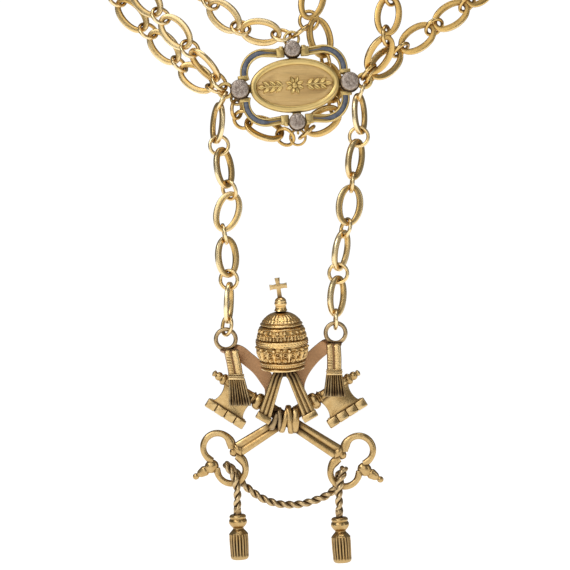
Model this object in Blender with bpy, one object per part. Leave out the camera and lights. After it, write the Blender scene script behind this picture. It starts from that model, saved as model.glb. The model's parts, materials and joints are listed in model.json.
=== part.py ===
"""Chain of office: three strands, an oval medallion, two drop chains and a hanging pendant.

The model is in metres with +Z up and +Y away from the viewer. The origin is the place at the
nape where the middle strand lies.
"""

import math

import bmesh
import bpy
from mathutils import Matrix, Vector

# Links
OVAL_LENGTH = 15.0e-3
OVAL_WIDTH = 9.6e-3
OVAL_BAND = 2.1e-3
OVAL_THICKNESS = 1.5e-3
RING_DIAMETER = 7.74e-3
RING_WIRE = 1.27e-3
THIN_RING_DIAMETER = 6.3e-3
THIN_RING_WIRE = 0.95e-3
OVAL_SIDES = 10
RING_SIDES = 10
WIRE_SIDES = 5
SOLDER_BITE = 0.1e-3
CHAIN_SLACK = 0.008
SETTLE_ROUNDS = 3000
STRAND_DIAMETER = 5.0e-3
STRAND_STEP = 3.0

# Clearances
SEAT_GAP = 0.3e-3
INLAY_GAP = 0.1e-3

# Where the medallion hangs
CHEST_Y = -125.0e-3
MEDALLION_X = 3.4e-3
MEDALLION_Z = -269.6e-3
MEDALLION_TILT = math.radians(4.0)

# Medallion
PLAQUE_WIDTH = 31.2e-3
PLAQUE_HEIGHT = 18.9e-3
PLAQUE_THICKNESS = 1.6e-3
PLAQUE_RIM = 2.3e-3
PLAQUE_SINK = 0.7e-3
PLAQUE_SIDES = 32
SIDE_STUD_RADIUS = 3.25e-3
TOP_STUD_RADIUS = 2.85e-3
SIDE_STUD_CLEARANCE = 0.25e-3
TOP_STUD_CLEARANCE = 0.3e-3
SIDE_STUD_REACH = PLAQUE_WIDTH / 2.0 + SIDE_STUD_RADIUS + SIDE_STUD_CLEARANCE
TOP_STUD_REACH = PLAQUE_HEIGHT / 2.0 + TOP_STUD_RADIUS + TOP_STUD_CLEARANCE
STUD_HEIGHT = 2.1e-3
STUD_SIDES = 14
SEAT_BACK = 0.8e-3
SEAT_FRONT = -0.85e-3
LOBE_X = SIDE_STUD_REACH - 8.8e-3
LOBE_Z = TOP_STUD_REACH - 7.5e-3
LOBE_RADIUS = 7.0e-3
LOBE_START = math.radians(-20.0)
LOBE_END = math.radians(98.0)
LOBE_STEPS = 9
LUG_ASIDE = 1.4e-3
LUG_LAP = 0.5e-3
TAIL_SLOPE = 0.1
ARC_BAND = 2.9e-3
ARC_HALF_DEPTH = 0.75e-3
CHANNEL_WIDTH = 1.5e-3
CHANNEL_DEPTH = 0.6e-3
CARRIER_BAND = 2.2e-3
CARRIER_DEPTH = 0.7e-3
EAR_RADIUS = 2.35e-3
EAR_WIRE = 1.3e-3
TOP_EYE_RADIUS = 2.5e-3
TOP_EYE_RISE = 0.75e-3
TOP_EYE_WIRE = 1.0e-3
HOOK_RADIUS = 1.5e-3
HOOK_WIRE = 0.9e-3
BACK_LOOP_RADIUS = 2.0e-3
BACK_LOOP_WIRE = 1.1e-3
BACK_LOOP_DEPTH = 3.2e-3

# Pendant
PENDANT_X = -1.5e-3
HANGER_SPREAD = 38.1e-3
HANGER_RISE = 2.2e-3
HANGER_RADIUS = 3.45e-3
HANGER_WIRE = 1.5e-3
SHAFT_WIDTH = 4.7e-3
SHAFT_DEPTH = 2.9e-3
CROSSING_X = 2.0e-3
CROSSING_Z = -32.4e-3
KEY_SLOPE = math.radians(32.6)
KEY_OFFSET = 1.6e-3
KEY_BOW_REACH = 25.7e-3
BOW_SPREAD = 4.4e-3
BOW_RADIUS = 4.85e-3
BOW_BAND = 1.95e-3
BOW_THICKNESS = 2.3e-3
BOW_START = math.radians(-38.0)
BOW_STEPS = 12
BIT_CENTRE = 18.9e-3
BIT_LENGTH = 15.4e-3
BIT_DROP = 9.7e-3
WARD_HEIGHT = 3.2e-3
WARD_DEPTH = 3.0e-3
WARD_COUNT = 4
PLATE_DEPTH = 1.9e-3
KNOT_HEIGHT = 9.4e-3
KNOT_WRAP = 2.5e-3
KNOT_PITCH = 2.3e-3
KNOT_RISE = 2.3e-3
STAY_WIDTH_TOP = 3.5e-3
STAY_WIDTH_FOOT = 4.7e-3
STAY_DEPTH = 1.9e-3
STAY_BLOCK = 2.2e-3
TIARA_X = 0.8e-3
TIARA_FOOT = -15.6e-3
TIARA_HEIGHT = 21.0e-3
TIARA_RADIUS = 9.2e-3
TIARA_WALL = 0.9e-3
TIARA_FORWARD = -2.2e-3
TIARA_LEAN = math.radians(2.0)
BALANCE_SHIFT = 2.0e-3
TIARA_NOD = math.radians(9.0)
TIARA_SIDES = 28
RELIEF = 0.35e-3
ORB_RADIUS = 2.15e-3
CROSS_HEIGHT = 6.6e-3
CROSS_WIDTH = 6.0e-3
CROSS_BAR = 1.55e-3
CROSS_DEPTH = 1.1e-3
CROSS_LEAN = math.radians(8.0)
STRAP_WIDTH = 5.0e-3
STRAP_THICKNESS = 0.9e-3
STRAP_BACK = 4.7e-3
HANG_FRONT = -4.7e-3
FRINGE_DEPTH = 1.9e-3
FRINGE_FLARE = 1.25
CORD_DIAMETER = 2.5e-3
CORD_PITCH = 5.6e-3
TASSEL_BALL = 3.2e-3
TASSEL_SKIRT = 3.5e-3
TASSEL_LENGTH = 16.0e-3

# Finishes: colour, roughness, metallic
FINISHES = {
    "gilt_bronze": ((0.55, 0.36, 0.12, 1.0), 0.35, 1.0),
    "pale_gilt": ((0.72, 0.53, 0.24, 1.0), 0.32, 1.0),
    "tarnished_brass": ((0.30, 0.21, 0.10, 1.0), 0.45, 1.0),
    "blue_enamel": ((0.10, 0.13, 0.19, 1.0), 0.25, 0.0),
    "silver_stud": ((0.42, 0.37, 0.35, 1.0), 0.5, 1.0),
}

X_AXIS = Vector((1.0, 0.0, 0.0))
Y_AXIS = Vector((0.0, 1.0, 0.0))
Z_AXIS = Vector((0.0, 0.0, 1.0))


def clear_scene():
    """Remove the objects that are already there."""
    for item in list(bpy.data.objects):
        bpy.data.objects.remove(item, do_unlink=True)


def make_materials():
    """Return a Principled material for each finish, by name."""
    materials = {}
    for name, (colour, roughness, metallic) in FINISHES.items():
        material = bpy.data.materials.new(name)
        material.use_nodes = True
        shader = material.node_tree.nodes["Principled BSDF"]
        shader.inputs["Base Color"].default_value = colour
        shader.inputs["Roughness"].default_value = roughness
        shader.inputs["Metallic"].default_value = metallic
        materials[name] = material
    return materials


def stack_rings(rings, closed=False):
    """Join rings of equal size into a shell, with flat ends unless it closes on itself."""
    size = len(rings[0])
    count = len(rings)
    vertices = [Vector(point) for ring in rings for point in ring]
    faces = []
    for row in range(count if closed else count - 1):
        low = row * size
        high = (row + 1) % count * size
        for step in range(size):
            after = (step + 1) % size
            faces.append((low + step, low + after, high + after, high + step))
    if not closed:
        faces.append(tuple(range(size)))
        faces.append(tuple(range((count - 1) * size, count * size)))
    return vertices, faces


def moved(shell, matrix):
    """Return a copy of a shell placed by a matrix."""
    vertices, faces = shell
    return [matrix @ point for point in vertices], faces


def prism(outline, front, back):
    """Return a plate with its outline in X and Z, from the front to the back in Y."""
    rings = [[Vector((x, depth, z)) for x, z in outline] for depth in (front, back)]
    return stack_rings(rings)


def block(centre, size):
    """Return a box shell."""
    half = Vector(size) / 2.0
    outline = [(-half.x, -half.z), (half.x, -half.z), (half.x, half.z), (-half.x, half.z)]
    return moved(prism(outline, -half.y, half.y), Matrix.Translation(centre))


def circle(radius, sides, centre_x=0.0, centre_z=0.0):
    """Return an outline of a circle in X and Z."""
    turns = [2.0 * math.pi * step / sides for step in range(sides)]
    return [(centre_x + radius * math.cos(turn), centre_z + radius * math.sin(turn)) for turn in turns]


def turned(profile, sides, flutes=0, flute_depth=0.0):
    """Turn a profile of radius and height about Z, with flutes pressed into it if asked."""
    rings = []
    for radius, height in profile:
        ring = []
        for step in range(sides):
            angle = 2.0 * math.pi * step / sides
            reach = radius
            if flutes:
                reach += flute_depth * math.cos(flutes * angle) * min(1.0, radius / TASSEL_SKIRT)
            ring.append(Vector((reach * math.cos(angle), reach * math.sin(angle), height)))
        rings.append(ring)
    return stack_rings(rings)


def ring_shell(radius, wire, sides, wire_sides=WIRE_SIDES, bite=0.0):
    """Return a round link in the XZ plane, its contact side a little fuller by the bite."""
    rings = []
    for step in range(sides):
        turn = 2.0 * math.pi * step / sides
        outward = Vector((math.sin(turn), 0.0, math.cos(turn)))
        ring = []
        for side in range(wire_sides):
            angle = math.pi + 2.0 * math.pi * side / wire_sides
            reach = wire / 2.0 * math.cos(angle)
            if side == 0:
                reach -= bite
            ring.append(outward * (radius + reach) + Y_AXIS * (wire / 2.0 * math.sin(angle)))
        rings.append(ring)
    return stack_rings(rings, closed=True)


def flat_section(band, thickness, bite=0.0):
    """Return the six-sided section of a flat band, its inner edge a little fuller by the bite."""
    half = band / 2.0
    shoulder = half * 0.55
    deep = thickness / 2.0
    section = [(-half - bite, 0.0), (-shoulder, -deep), (shoulder, -deep)]
    return section + [(half, 0.0), (shoulder, deep), (-shoulder, deep)]


def oval_shell(length, width, band, thickness, sides, bite=0.0):
    """Return a flat oval link in the XZ plane, long way up."""
    rise = (length - band) / 2.0
    reach = (width - band) / 2.0
    section = flat_section(band, thickness, bite)
    rings = []
    for step in range(sides):
        turn = 2.0 * math.pi * step / sides
        middle = Vector((reach * math.sin(turn), 0.0, rise * math.cos(turn)))
        outward = Vector((rise * math.sin(turn), 0.0, reach * math.cos(turn))).normalized()
        rings.append([middle + outward * across + Y_AXIS * depth for across, depth in section])
    return stack_rings(rings, closed=True)


def build_mesh(name, shells):
    """Return one mesh holding the shells, each with its faces turned out."""
    mesh = bpy.data.meshes.new(name)
    work = bmesh.new()
    for vertices, faces in shells:
        corners = [work.verts.new(point) for point in vertices]
        for face in faces:
            work.faces.new([corners[index] for index in face])
    bmesh.ops.recalc_face_normals(work, faces=work.faces)
    work.to_mesh(mesh)
    work.free()
    return mesh


def fuse(name, first, others, overlapping=False):
    """Return the Boolean union of two groups of shells as one mesh."""
    base = bpy.data.objects.new(name + "_base", build_mesh(name + "_base", first))
    tool = bpy.data.objects.new(name + "_tool", build_mesh(name + "_tool", others))
    bpy.context.scene.collection.objects.link(base)
    bpy.context.scene.collection.objects.link(tool)
    union = base.modifiers.new("union", "BOOLEAN")
    union.operation = "UNION"
    union.solver = "EXACT"
    union.use_self = overlapping
    union.object = tool
    graph = bpy.context.evaluated_depsgraph_get()
    mesh = bpy.data.meshes.new_from_object(base.evaluated_get(graph))
    mesh.name = name
    bpy.data.objects.remove(base, do_unlink=True)
    bpy.data.objects.remove(tool, do_unlink=True)
    return mesh


def add_piece(name, mesh, material, parent=None):
    """Link a named object with a smooth finish and a material, under its parent."""
    piece = bpy.data.objects.new(name, mesh)
    mesh.materials.clear()
    mesh.materials.append(material)
    mesh.shade_smooth()
    mesh.set_sharp_from_angle(angle=math.radians(35.0))
    bpy.context.scene.collection.objects.link(piece)
    piece.parent = parent
    return piece


def add_empty(name, location, turn_about_y=0.0):
    """Add an empty that carries a sub-assembly."""
    empty = bpy.data.objects.new(name, None)
    empty.location = location
    empty.rotation_euler = (0.0, turn_about_y, 0.0)
    bpy.context.scene.collection.objects.link(empty)
    return empty


def settle(points, lengths):
    """Draw the contact points together until each neighbour is one link away, ends held."""
    points = [Vector(point) for point in points]
    last = len(points) - 1
    for _ in range(SETTLE_ROUNDS):
        for index, length in enumerate(lengths):
            offset = points[index + 1] - points[index]
            excess = offset * (1.0 - length / offset.length)
            share = 1.0 if index == 0 or index + 1 == last else 0.5
            if index > 0:
                points[index] += excess * share
            if index + 1 < last:
                points[index + 1] -= excess * share
    return points


def link_matrix(start, end, turn):
    """Return the placing of a link between two contact points, turned about its length."""
    along = (end - start).normalized()
    facing = (Y_AXIS - along * Y_AXIS.dot(along)).normalized()
    facing = Matrix.Rotation(math.radians(turn), 3, along) @ facing
    across = facing.cross(along)
    basis = Matrix((across, facing, along)).transposed().to_4x4()
    return Matrix.Translation((start + end) / 2.0) @ basis


def inner_length(kind):
    """Return the clear length inside a link of a kind."""
    if kind == "oval":
        return OVAL_LENGTH - 2.0 * OVAL_BAND
    if kind == "thin":
        return THIN_RING_DIAMETER - 2.0 * THIN_RING_WIRE
    return RING_DIAMETER - 2.0 * RING_WIRE


def link_shell(kind):
    """Return the shell of a link of a kind."""
    if kind == "oval":
        return oval_shell(OVAL_LENGTH, OVAL_WIDTH, OVAL_BAND, OVAL_THICKNESS, OVAL_SIDES, SOLDER_BITE)
    if kind == "thin":
        radius = (THIN_RING_DIAMETER - THIN_RING_WIRE) / 2.0
        return ring_shell(radius, THIN_RING_WIRE, RING_SIDES, bite=SOLDER_BITE)
    radius = (RING_DIAMETER - RING_WIRE) / 2.0
    return ring_shell(radius, RING_WIRE, RING_SIDES, bite=SOLDER_BITE)


def chain_shells(points, kinds, turns):
    """Return the shells of a run of links between contact points."""
    shells = []
    for index, (kind, turn) in enumerate(zip(kinds, turns)):
        placing = link_matrix(points[index], points[index + 1], turn)
        shells.append(moved(link_shell(kind), placing))
    return shells


# Medallion

def medallion_matrix():
    """Return the placing of the medallion's own frame."""
    place = Matrix.Translation((MEDALLION_X, CHEST_Y, MEDALLION_Z))
    return place @ Matrix.Rotation(-MEDALLION_TILT, 4, "Y")


def medallion_point(x, z, depth=0.0):
    """Return a world point given in the medallion's frame."""
    return medallion_matrix() @ Vector((x, depth, z))


def side_seat_radius():
    """Return the radius of the seat under a side stud."""
    return SIDE_STUD_RADIUS + INLAY_GAP


def ear_reach():
    """Return how far an ear's centre lies from the medallion's middle."""
    return SIDE_STUD_REACH + side_seat_radius() + EAR_RADIUS - EAR_WIRE / 2.0


def lobe_path(sign_x, sign_z):
    """Return the middle line of one arc of the frame."""
    path = []
    for step in range(LOBE_STEPS + 1):
        turn = LOBE_START + (LOBE_END - LOBE_START) * step / LOBE_STEPS
        x = LOBE_X + LOBE_RADIUS * math.cos(turn)
        z = LOBE_Z + LOBE_RADIUS * math.sin(turn)
        path.append(Vector((sign_x * x, 0.0, sign_z * z)))
    run = abs(path[-1].x) - (TOP_STUD_RADIUS + LUG_ASIDE + LUG_LAP)
    tail = path[-1] - Vector((sign_x * run, 0.0, sign_z * run * TAIL_SLOPE))
    return path + [tail]


def band_along(path, section):
    """Sweep a section of across and depth along a path in the XZ plane."""
    rings = []
    for index, point in enumerate(path):
        ahead = path[min(index + 1, len(path) - 1)]
        behind = path[max(index - 1, 0)]
        tangent = (ahead - behind).normalized()
        across = tangent.cross(Y_AXIS)
        rings.append([point + across * reach + Y_AXIS * depth for reach, depth in section])
    return stack_rings(rings)


def channel_section():
    """Return the arc's section: two rims with a sunk channel between."""
    half = ARC_BAND / 2.0
    lip = CHANNEL_WIDTH / 2.0
    front = -ARC_HALF_DEPTH
    floor = front + CHANNEL_DEPTH
    return [
        (-half, ARC_HALF_DEPTH),
        (-half, front),
        (-lip, front),
        (-lip, floor),
        (lip, floor),
        (lip, front),
        (half, front),
        (half, ARC_HALF_DEPTH),
    ]


def inlay_section():
    """Return the section of the enamel that lies in the channel."""
    half = CHANNEL_WIDTH / 2.0 - INLAY_GAP
    floor = -ARC_HALF_DEPTH + CHANNEL_DEPTH - INLAY_GAP
    front = -ARC_HALF_DEPTH + INLAY_GAP
    return [(-half, floor), (-half, front), (half, front), (half, floor)]


def loop_shell(centre, radius, wire, axis):
    """Return a soldered wire loop whose hole runs along Y or X."""
    shell = ring_shell(radius, wire, 12, 6)
    turn = Matrix.Rotation(math.pi / 2.0, 4, "Z") if axis == "X" else Matrix.Identity(4)
    return moved(shell, Matrix.Translation(centre) @ turn)


def top_eye_centre():
    """Return the centre of the eye above the top stud, in the medallion's frame."""
    return Vector((0.0, 0.0, TOP_STUD_REACH + TOP_STUD_RADIUS + TOP_EYE_RISE))


def hook_centre():
    """Return the centre of the small loop behind the bottom stud."""
    drop = TOP_STUD_REACH + TOP_STUD_RADIUS - HOOK_RADIUS * 0.3
    return Vector((0.0, SEAT_BACK + HOOK_WIRE, -drop))


def back_loop_centre():
    """Return the centre of the loop behind the left stud that takes the chain below."""
    aside = SIDE_STUD_REACH + SIDE_STUD_RADIUS * 0.4
    return Vector((-aside, BACK_LOOP_DEPTH, -SIDE_STUD_RADIUS * 0.85))


def frame_shells():
    """Return every shell that is soldered into the medallion's frame."""
    shells = []
    for sign_x in (-1.0, 1.0):
        for sign_z in (-1.0, 1.0):
            shells.append(band_along(lobe_path(sign_x, sign_z), channel_section()))
            aside = TOP_STUD_RADIUS + LUG_ASIDE
            lug_top = Vector((sign_x * aside, 0.0, sign_z * (TOP_STUD_REACH - 0.9e-3)))
            shells.append(block(lug_top, (3.0e-3, 1.6e-3, 3.4e-3)))
            lift = SIDE_STUD_RADIUS + 0.6e-3
            lug_side = Vector((sign_x * (SIDE_STUD_REACH - 1.3e-3), 0.0, sign_z * lift))
            shells.append(block(lug_side, (3.6e-3, 1.6e-3, 1.5e-3)))
        seat = circle(side_seat_radius(), STUD_SIDES, sign_x * SIDE_STUD_REACH, 0.0)
        shells.append(prism(seat, SEAT_FRONT, SEAT_BACK))
        ear = Vector((sign_x * ear_reach(), 0.0, 0.0))
        shells.append(loop_shell(ear, EAR_RADIUS, EAR_WIRE, "Y"))
    for sign_z in (-1.0, 1.0):
        seat = circle(TOP_STUD_RADIUS + INLAY_GAP, STUD_SIDES, 0.0, sign_z * TOP_STUD_REACH)
        shells.append(prism(seat, SEAT_FRONT, SEAT_BACK))
    bar_depth = SEAT_BACK - CARRIER_DEPTH / 2.0
    shells.append(block((0.0, bar_depth, 0.0), (2.0 * SIDE_STUD_REACH, CARRIER_DEPTH, 3.0e-3)))
    shells.append(block((0.0, bar_depth, 0.0), (3.0e-3, CARRIER_DEPTH * 0.9, 2.0 * TOP_STUD_REACH)))
    shells.append(loop_shell(top_eye_centre(), TOP_EYE_RADIUS, TOP_EYE_WIRE, "Y"))
    shells.append(loop_shell(hook_centre(), HOOK_RADIUS, HOOK_WIRE, "X"))
    back_loop = back_loop_centre()
    shells.append(loop_shell(back_loop, BACK_LOOP_RADIUS, BACK_LOOP_WIRE, "Y"))
    post = Vector((back_loop.x, BACK_LOOP_DEPTH / 2.0, back_loop.z + BACK_LOOP_RADIUS))
    shells.append(block(post, (BACK_LOOP_WIRE * 0.9, BACK_LOOP_DEPTH, BACK_LOOP_WIRE * 0.9)))
    return shells


def carrier_shell():
    """Return the oval band behind the plaque's rim."""
    rings = []
    for step in range(24):
        turn = 2.0 * math.pi * step / 24
        half_width = PLAQUE_WIDTH / 2.0 - CARRIER_BAND / 2.0
        half_height = PLAQUE_HEIGHT / 2.0 - CARRIER_BAND / 2.0
        middle = Vector((half_width * math.cos(turn), 0.0, half_height * math.sin(turn)))
        outward = Vector((half_height * math.cos(turn), 0.0, half_width * math.sin(turn))).normalized()
        half = CARRIER_BAND / 2.0
        back = SEAT_BACK * 0.97
        front = SEAT_BACK - CARRIER_DEPTH * 1.05
        section = [(-half, back), (-half, front), (half, front), (half, back)]
        rings.append([middle + outward * reach + Y_AXIS * depth for reach, depth in section])
    return stack_rings(rings, closed=True)


def oval_ring(half_width, half_height, depth):
    """Return one ring of points on an ellipse at a depth."""
    turns = [2.0 * math.pi * step / PLAQUE_SIDES for step in range(PLAQUE_SIDES)]
    return [Vector((half_width * math.cos(turn), depth, half_height * math.sin(turn))) for turn in turns]


def plaque_ground():
    """Return the depth of the plaque's sunk ground."""
    back = SEAT_BACK - CARRIER_DEPTH * 1.05 - SEAT_GAP
    return back - PLAQUE_THICKNESS + PLAQUE_SINK


def plaque_shell():
    """Return the oval plaque with its rounded rim and sunk ground."""
    half_width = PLAQUE_WIDTH / 2.0
    half_height = PLAQUE_HEIGHT / 2.0
    ground = plaque_ground()
    front = ground - PLAQUE_SINK
    back = front + PLAQUE_THICKNESS
    rows = [
        (0.0, back),
        (0.0, front + 0.5e-3),
        (0.4e-3, front),
        (PLAQUE_RIM - 0.5e-3, front + 0.1e-3),
        (PLAQUE_RIM, ground),
    ]
    rings = [oval_ring(half_width - inset, half_height - inset, depth) for inset, depth in rows]
    return stack_rings(rings)


def petal_shell(angle, centre, length, width, rise):
    """Return a raised leaf: a low diamond that stands on the plaque's ground."""
    outline = [(0.0, 0.0), (length * 0.45, -width / 2.0), (length, 0.0), (length * 0.45, width / 2.0)]
    low = [Vector((x, 0.25e-3, z)) for x, z in outline]
    high = [Vector((x * 0.9 + length * 0.05, -rise, z * 0.45)) for x, z in outline]
    turn = Matrix.Rotation(-angle, 4, "Y")
    return moved(stack_rings([low, high]), Matrix.Translation(centre) @ turn)


def ornament_shells():
    """Return a rosette with a straight sprig of leaves on each side."""
    ground = plaque_ground()
    shells = []
    for step in range(8):
        angle = math.radians(22.5 + 45.0 * step)
        start = Vector((0.9e-3 * math.cos(angle), ground, 0.9e-3 * math.sin(angle)))
        shells.append(petal_shell(angle, start, 2.5e-3, 1.35e-3, 0.4e-3))
    for side in (-1.0, 1.0):
        for pair in range(3):
            for lean in (-1.0, 1.0):
                heading = lean * math.radians(35.0)
                angle = heading if side > 0.0 else math.pi - heading
                start = Vector((side * (4.3e-3 + 2.1e-3 * pair), ground, lean * 0.15e-3))
                shells.append(petal_shell(angle, start, 2.9e-3, 1.3e-3, 0.4e-3))
    return shells


def build_medallion(materials):
    """Make the frame, plaque, enamel and studs, under one tilted empty."""
    base = add_empty("medallion_base", (MEDALLION_X, CHEST_Y, MEDALLION_Z), -MEDALLION_TILT)
    frame = fuse("medallion_frame", [carrier_shell()], frame_shells(), overlapping=True)
    add_piece("medallion_frame", frame, materials["gilt_bronze"], base)
    plaque = fuse("plaque", [plaque_shell()], ornament_shells(), overlapping=True)
    add_piece("plaque", plaque, materials["gilt_bronze"], base)
    corners = {"upper_left": (-1, 1), "upper_right": (1, 1), "lower_left": (-1, -1), "lower_right": (1, -1)}
    for corner, (sign_x, sign_z) in corners.items():
        path = lobe_path(sign_x, sign_z)
        path = path[2:-1] + [path[-2].lerp(path[-1], 0.55)]
        mesh = build_mesh("enamel_" + corner, [band_along(path, inlay_section())])
        add_piece("enamel_" + corner, mesh, materials["blue_enamel"], base)
    studs = {
        "stud_left": (-SIDE_STUD_REACH, 0.0, SIDE_STUD_RADIUS),
        "stud_right": (SIDE_STUD_REACH, 0.0, SIDE_STUD_RADIUS),
        "stud_top": (0.0, TOP_STUD_REACH, TOP_STUD_RADIUS),
        "stud_bottom": (0.0, -TOP_STUD_REACH, TOP_STUD_RADIUS),
    }
    for name, (x, z, radius) in studs.items():
        profile = [(radius, SEAT_GAP), (radius, STUD_HEIGHT * 0.75), (radius * 0.8, STUD_HEIGHT)]
        shell = moved(turned(profile, STUD_SIDES), Matrix.Rotation(math.pi / 2.0, 4, "X"))
        mesh = build_mesh(name, [moved(shell, Matrix.Translation((x, SEAT_FRONT, z)))])
        add_piece(name, mesh, materials["silver_stud"], base)


# Pendant placing

def hanger_offset():
    """Return half of the way from the left hanger's pivot to the right one's."""
    return Vector((HANGER_SPREAD / 2.0, 0.0, HANGER_RISE / 2.0))


def chain_start(side):
    """Return where a drop chain's first ring bears on its ear."""
    rise = EAR_WIRE / 2.0 + SEAT_GAP + SOLDER_BITE
    return medallion_point(side * ear_reach(), -EAR_RADIUS + rise)


def hanger_drop():
    """Return how far below its pivot a hanger is met by the last ring of its chain."""
    return HANGER_WIRE / 2.0 + SEAT_GAP + SOLDER_BITE


DROP_KINDS = ["ring", "oval"] * 5 + ["ring"]


def drop_length():
    """Return the pulled length of a drop chain."""
    return sum(inner_length(kind) for kind in DROP_KINDS)


def pendant_origin():
    """Return the middle of the swing axis, as high as the shorter reach of the chains lets it be."""
    reach = drop_length() * (1.0 - CHAIN_SLACK)
    heights = []
    for side in (-1.0, 1.0):
        start = chain_start(side)
        end_x = PENDANT_X + side * hanger_offset().x
        fall = math.sqrt(reach ** 2 - (end_x - start.x) ** 2)
        heights.append(start.z - fall - side * hanger_offset().z + hanger_drop())
    return Vector((PENDANT_X, CHEST_Y, max(heights)))


def chain_end(side):
    """Return where a drop chain's last ring meets its hanger."""
    return pendant_origin() + side * hanger_offset() - Z_AXIS * hanger_drop()


# Drop chains: the turn of each link about its length, and how far its upper end stands aside
DROP_TABLE_LEFT = {
    "turn": [90, 62, -8, 130, 48, -5, 85, -36, 60, -82, 88],
    "aside": [0.0, -0.9, -1.2, -0.7, 0.2, 0.6, 0.2, 0.7, 1.0, 0.4, 0.3, 0.0],
}
DROP_TABLE_RIGHT = {
    "turn": [90, -60, 5, 130, 88, -10, 65, -55, 10, 130, 88],
    "aside": [0.0, -0.3, 0.4, 0.3, 0.2, 0.3, 0.2, 0.0, -0.2, -0.1, 0.1, 0.0],
}


def build_drop_chain(name, side, table, material):
    """Make one chain from the medallion's ear to the pendant's hanger."""
    start = chain_start(side)
    end = chain_end(side)
    lengths = [inner_length(kind) for kind in DROP_KINDS]
    run = 0.0
    points = [start]
    for index, length in enumerate(lengths):
        run += length
        point = start.lerp(end, run / drop_length())
        points.append(point + X_AXIS * table["aside"][index + 1] * OVAL_BAND)
    points[-1] = end
    points = settle(points, lengths)
    shells = chain_shells(points, DROP_KINDS, table["turn"])
    mesh = fuse(name, shells[0::2], shells[1::2])
    return add_piece(name, mesh, material)


# Chain under and behind the medallion: contact points from the medallion's middle, upright

UNDER_LEFT = [(-21.0e-3, 3.4e-3, -10.3e-3), (-16.3e-3, 3.6e-3, -12.2e-3), (-6.2e-3, 3.2e-3, -16.4e-3)]
UNDER_RIGHT = [
    (5.4e-3, 4.6e-3, -15.2e-3),
    (14.5e-3, 5.2e-3, -12.4e-3),
    (13.4e-3, 5.2e-3, -7.7e-3),
    (13.1e-3, 5.6e-3, 3.0e-3),
    (11.7e-3, 5.8e-3, 8.1e-3),
]
BIG_RING_TARGET = (5.7e-3, 2.2e-3, 22.3e-3)


def chest_point(offset):
    """Return a world point given from the medallion's middle along the world's axes."""
    return Vector((MEDALLION_X, CHEST_Y, MEDALLION_Z)) + Vector(offset)


def loop_bottom(centre, radius, wire):
    """Return where a link bears in the bottom of a soldered loop, in the medallion's frame."""
    return centre - Z_AXIS * (radius - wire / 2.0 - SEAT_GAP - SOLDER_BITE)


def eye_corner(side):
    """Return where a ring bears in the upper left or upper right of the top eye."""
    reach = TOP_EYE_RADIUS - TOP_EYE_WIRE / 2.0 - SEAT_GAP - SOLDER_BITE
    turn = side * math.radians(50.0)
    corner = top_eye_centre() + Vector((reach * math.sin(turn), 0.0, reach * math.cos(turn)))
    return medallion_matrix() @ corner


def big_ring_centre():
    """Return the centre of the ring above the medallion, and where its small neighbour bears."""
    start = eye_corner(1.0)
    target = chest_point(BIG_RING_TARGET)
    lean = (target - start).normalized()
    knuckle = start + lean * inner_length("ring")
    rise = (target + Z_AXIS * OVAL_BAND - knuckle).normalized()
    return knuckle + rise * inner_length("ring") / 2.0, knuckle


def build_under_chain(material):
    """Make the run of links from behind the left stud, through the jump ring, to the top eye."""
    hook = medallion_matrix() @ loop_bottom(hook_centre(), HOOK_RADIUS, HOOK_WIRE)
    thin_centre = hook - Z_AXIS * inner_length("thin") / 2.0
    thin_foot = hook - Z_AXIS * inner_length("thin")
    reach = inner_length("thin") / 2.0
    left_bearing = thin_centre + Vector((-reach * 0.94, 0.0, -reach * 0.34))
    right_bearing = thin_centre + Vector((reach * 0.94, 0.0, reach * 0.34))
    start = medallion_matrix() @ loop_bottom(back_loop_centre(), BACK_LOOP_RADIUS, BACK_LOOP_WIRE)
    left_kinds = ["ring", "ring", "oval", "ring"]
    left_points = [start] + [chest_point(offset) for offset in UNDER_LEFT] + [left_bearing]
    left_points = settle(left_points, [inner_length(kind) for kind in left_kinds])
    shells = chain_shells(left_points, left_kinds, [-60, 30, -30, 40])
    shells += chain_shells([hook, thin_foot], ["thin"], [0])
    big_centre, knuckle = big_ring_centre()
    big_reach = inner_length("ring") / 2.0
    right_end = big_centre + Vector((big_reach * 0.97, 0.0, -big_reach * 0.25))
    right_kinds = ["ring", "oval", "ring", "oval", "ring", "oval"]
    right_points = [right_bearing] + [chest_point(offset) for offset in UNDER_RIGHT] + [right_end]
    right_points = settle(right_points, [inner_length(kind) for kind in right_kinds])
    shells += chain_shells(right_points, right_kinds, [-80, 10, -60, 20, -70, 20])
    big_ends = [big_centre + Z_AXIS * big_reach, big_centre - Z_AXIS * big_reach]
    shells += chain_shells(big_ends, ["ring"], [0])
    shells += chain_shells([knuckle, eye_corner(1.0)], ["ring"], [80])
    mesh = fuse("under_chain", shells[0::2], shells[1::2])
    return add_piece("under_chain", mesh, material)


# Strands: their routes round the neck, from the left end to the right end

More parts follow.
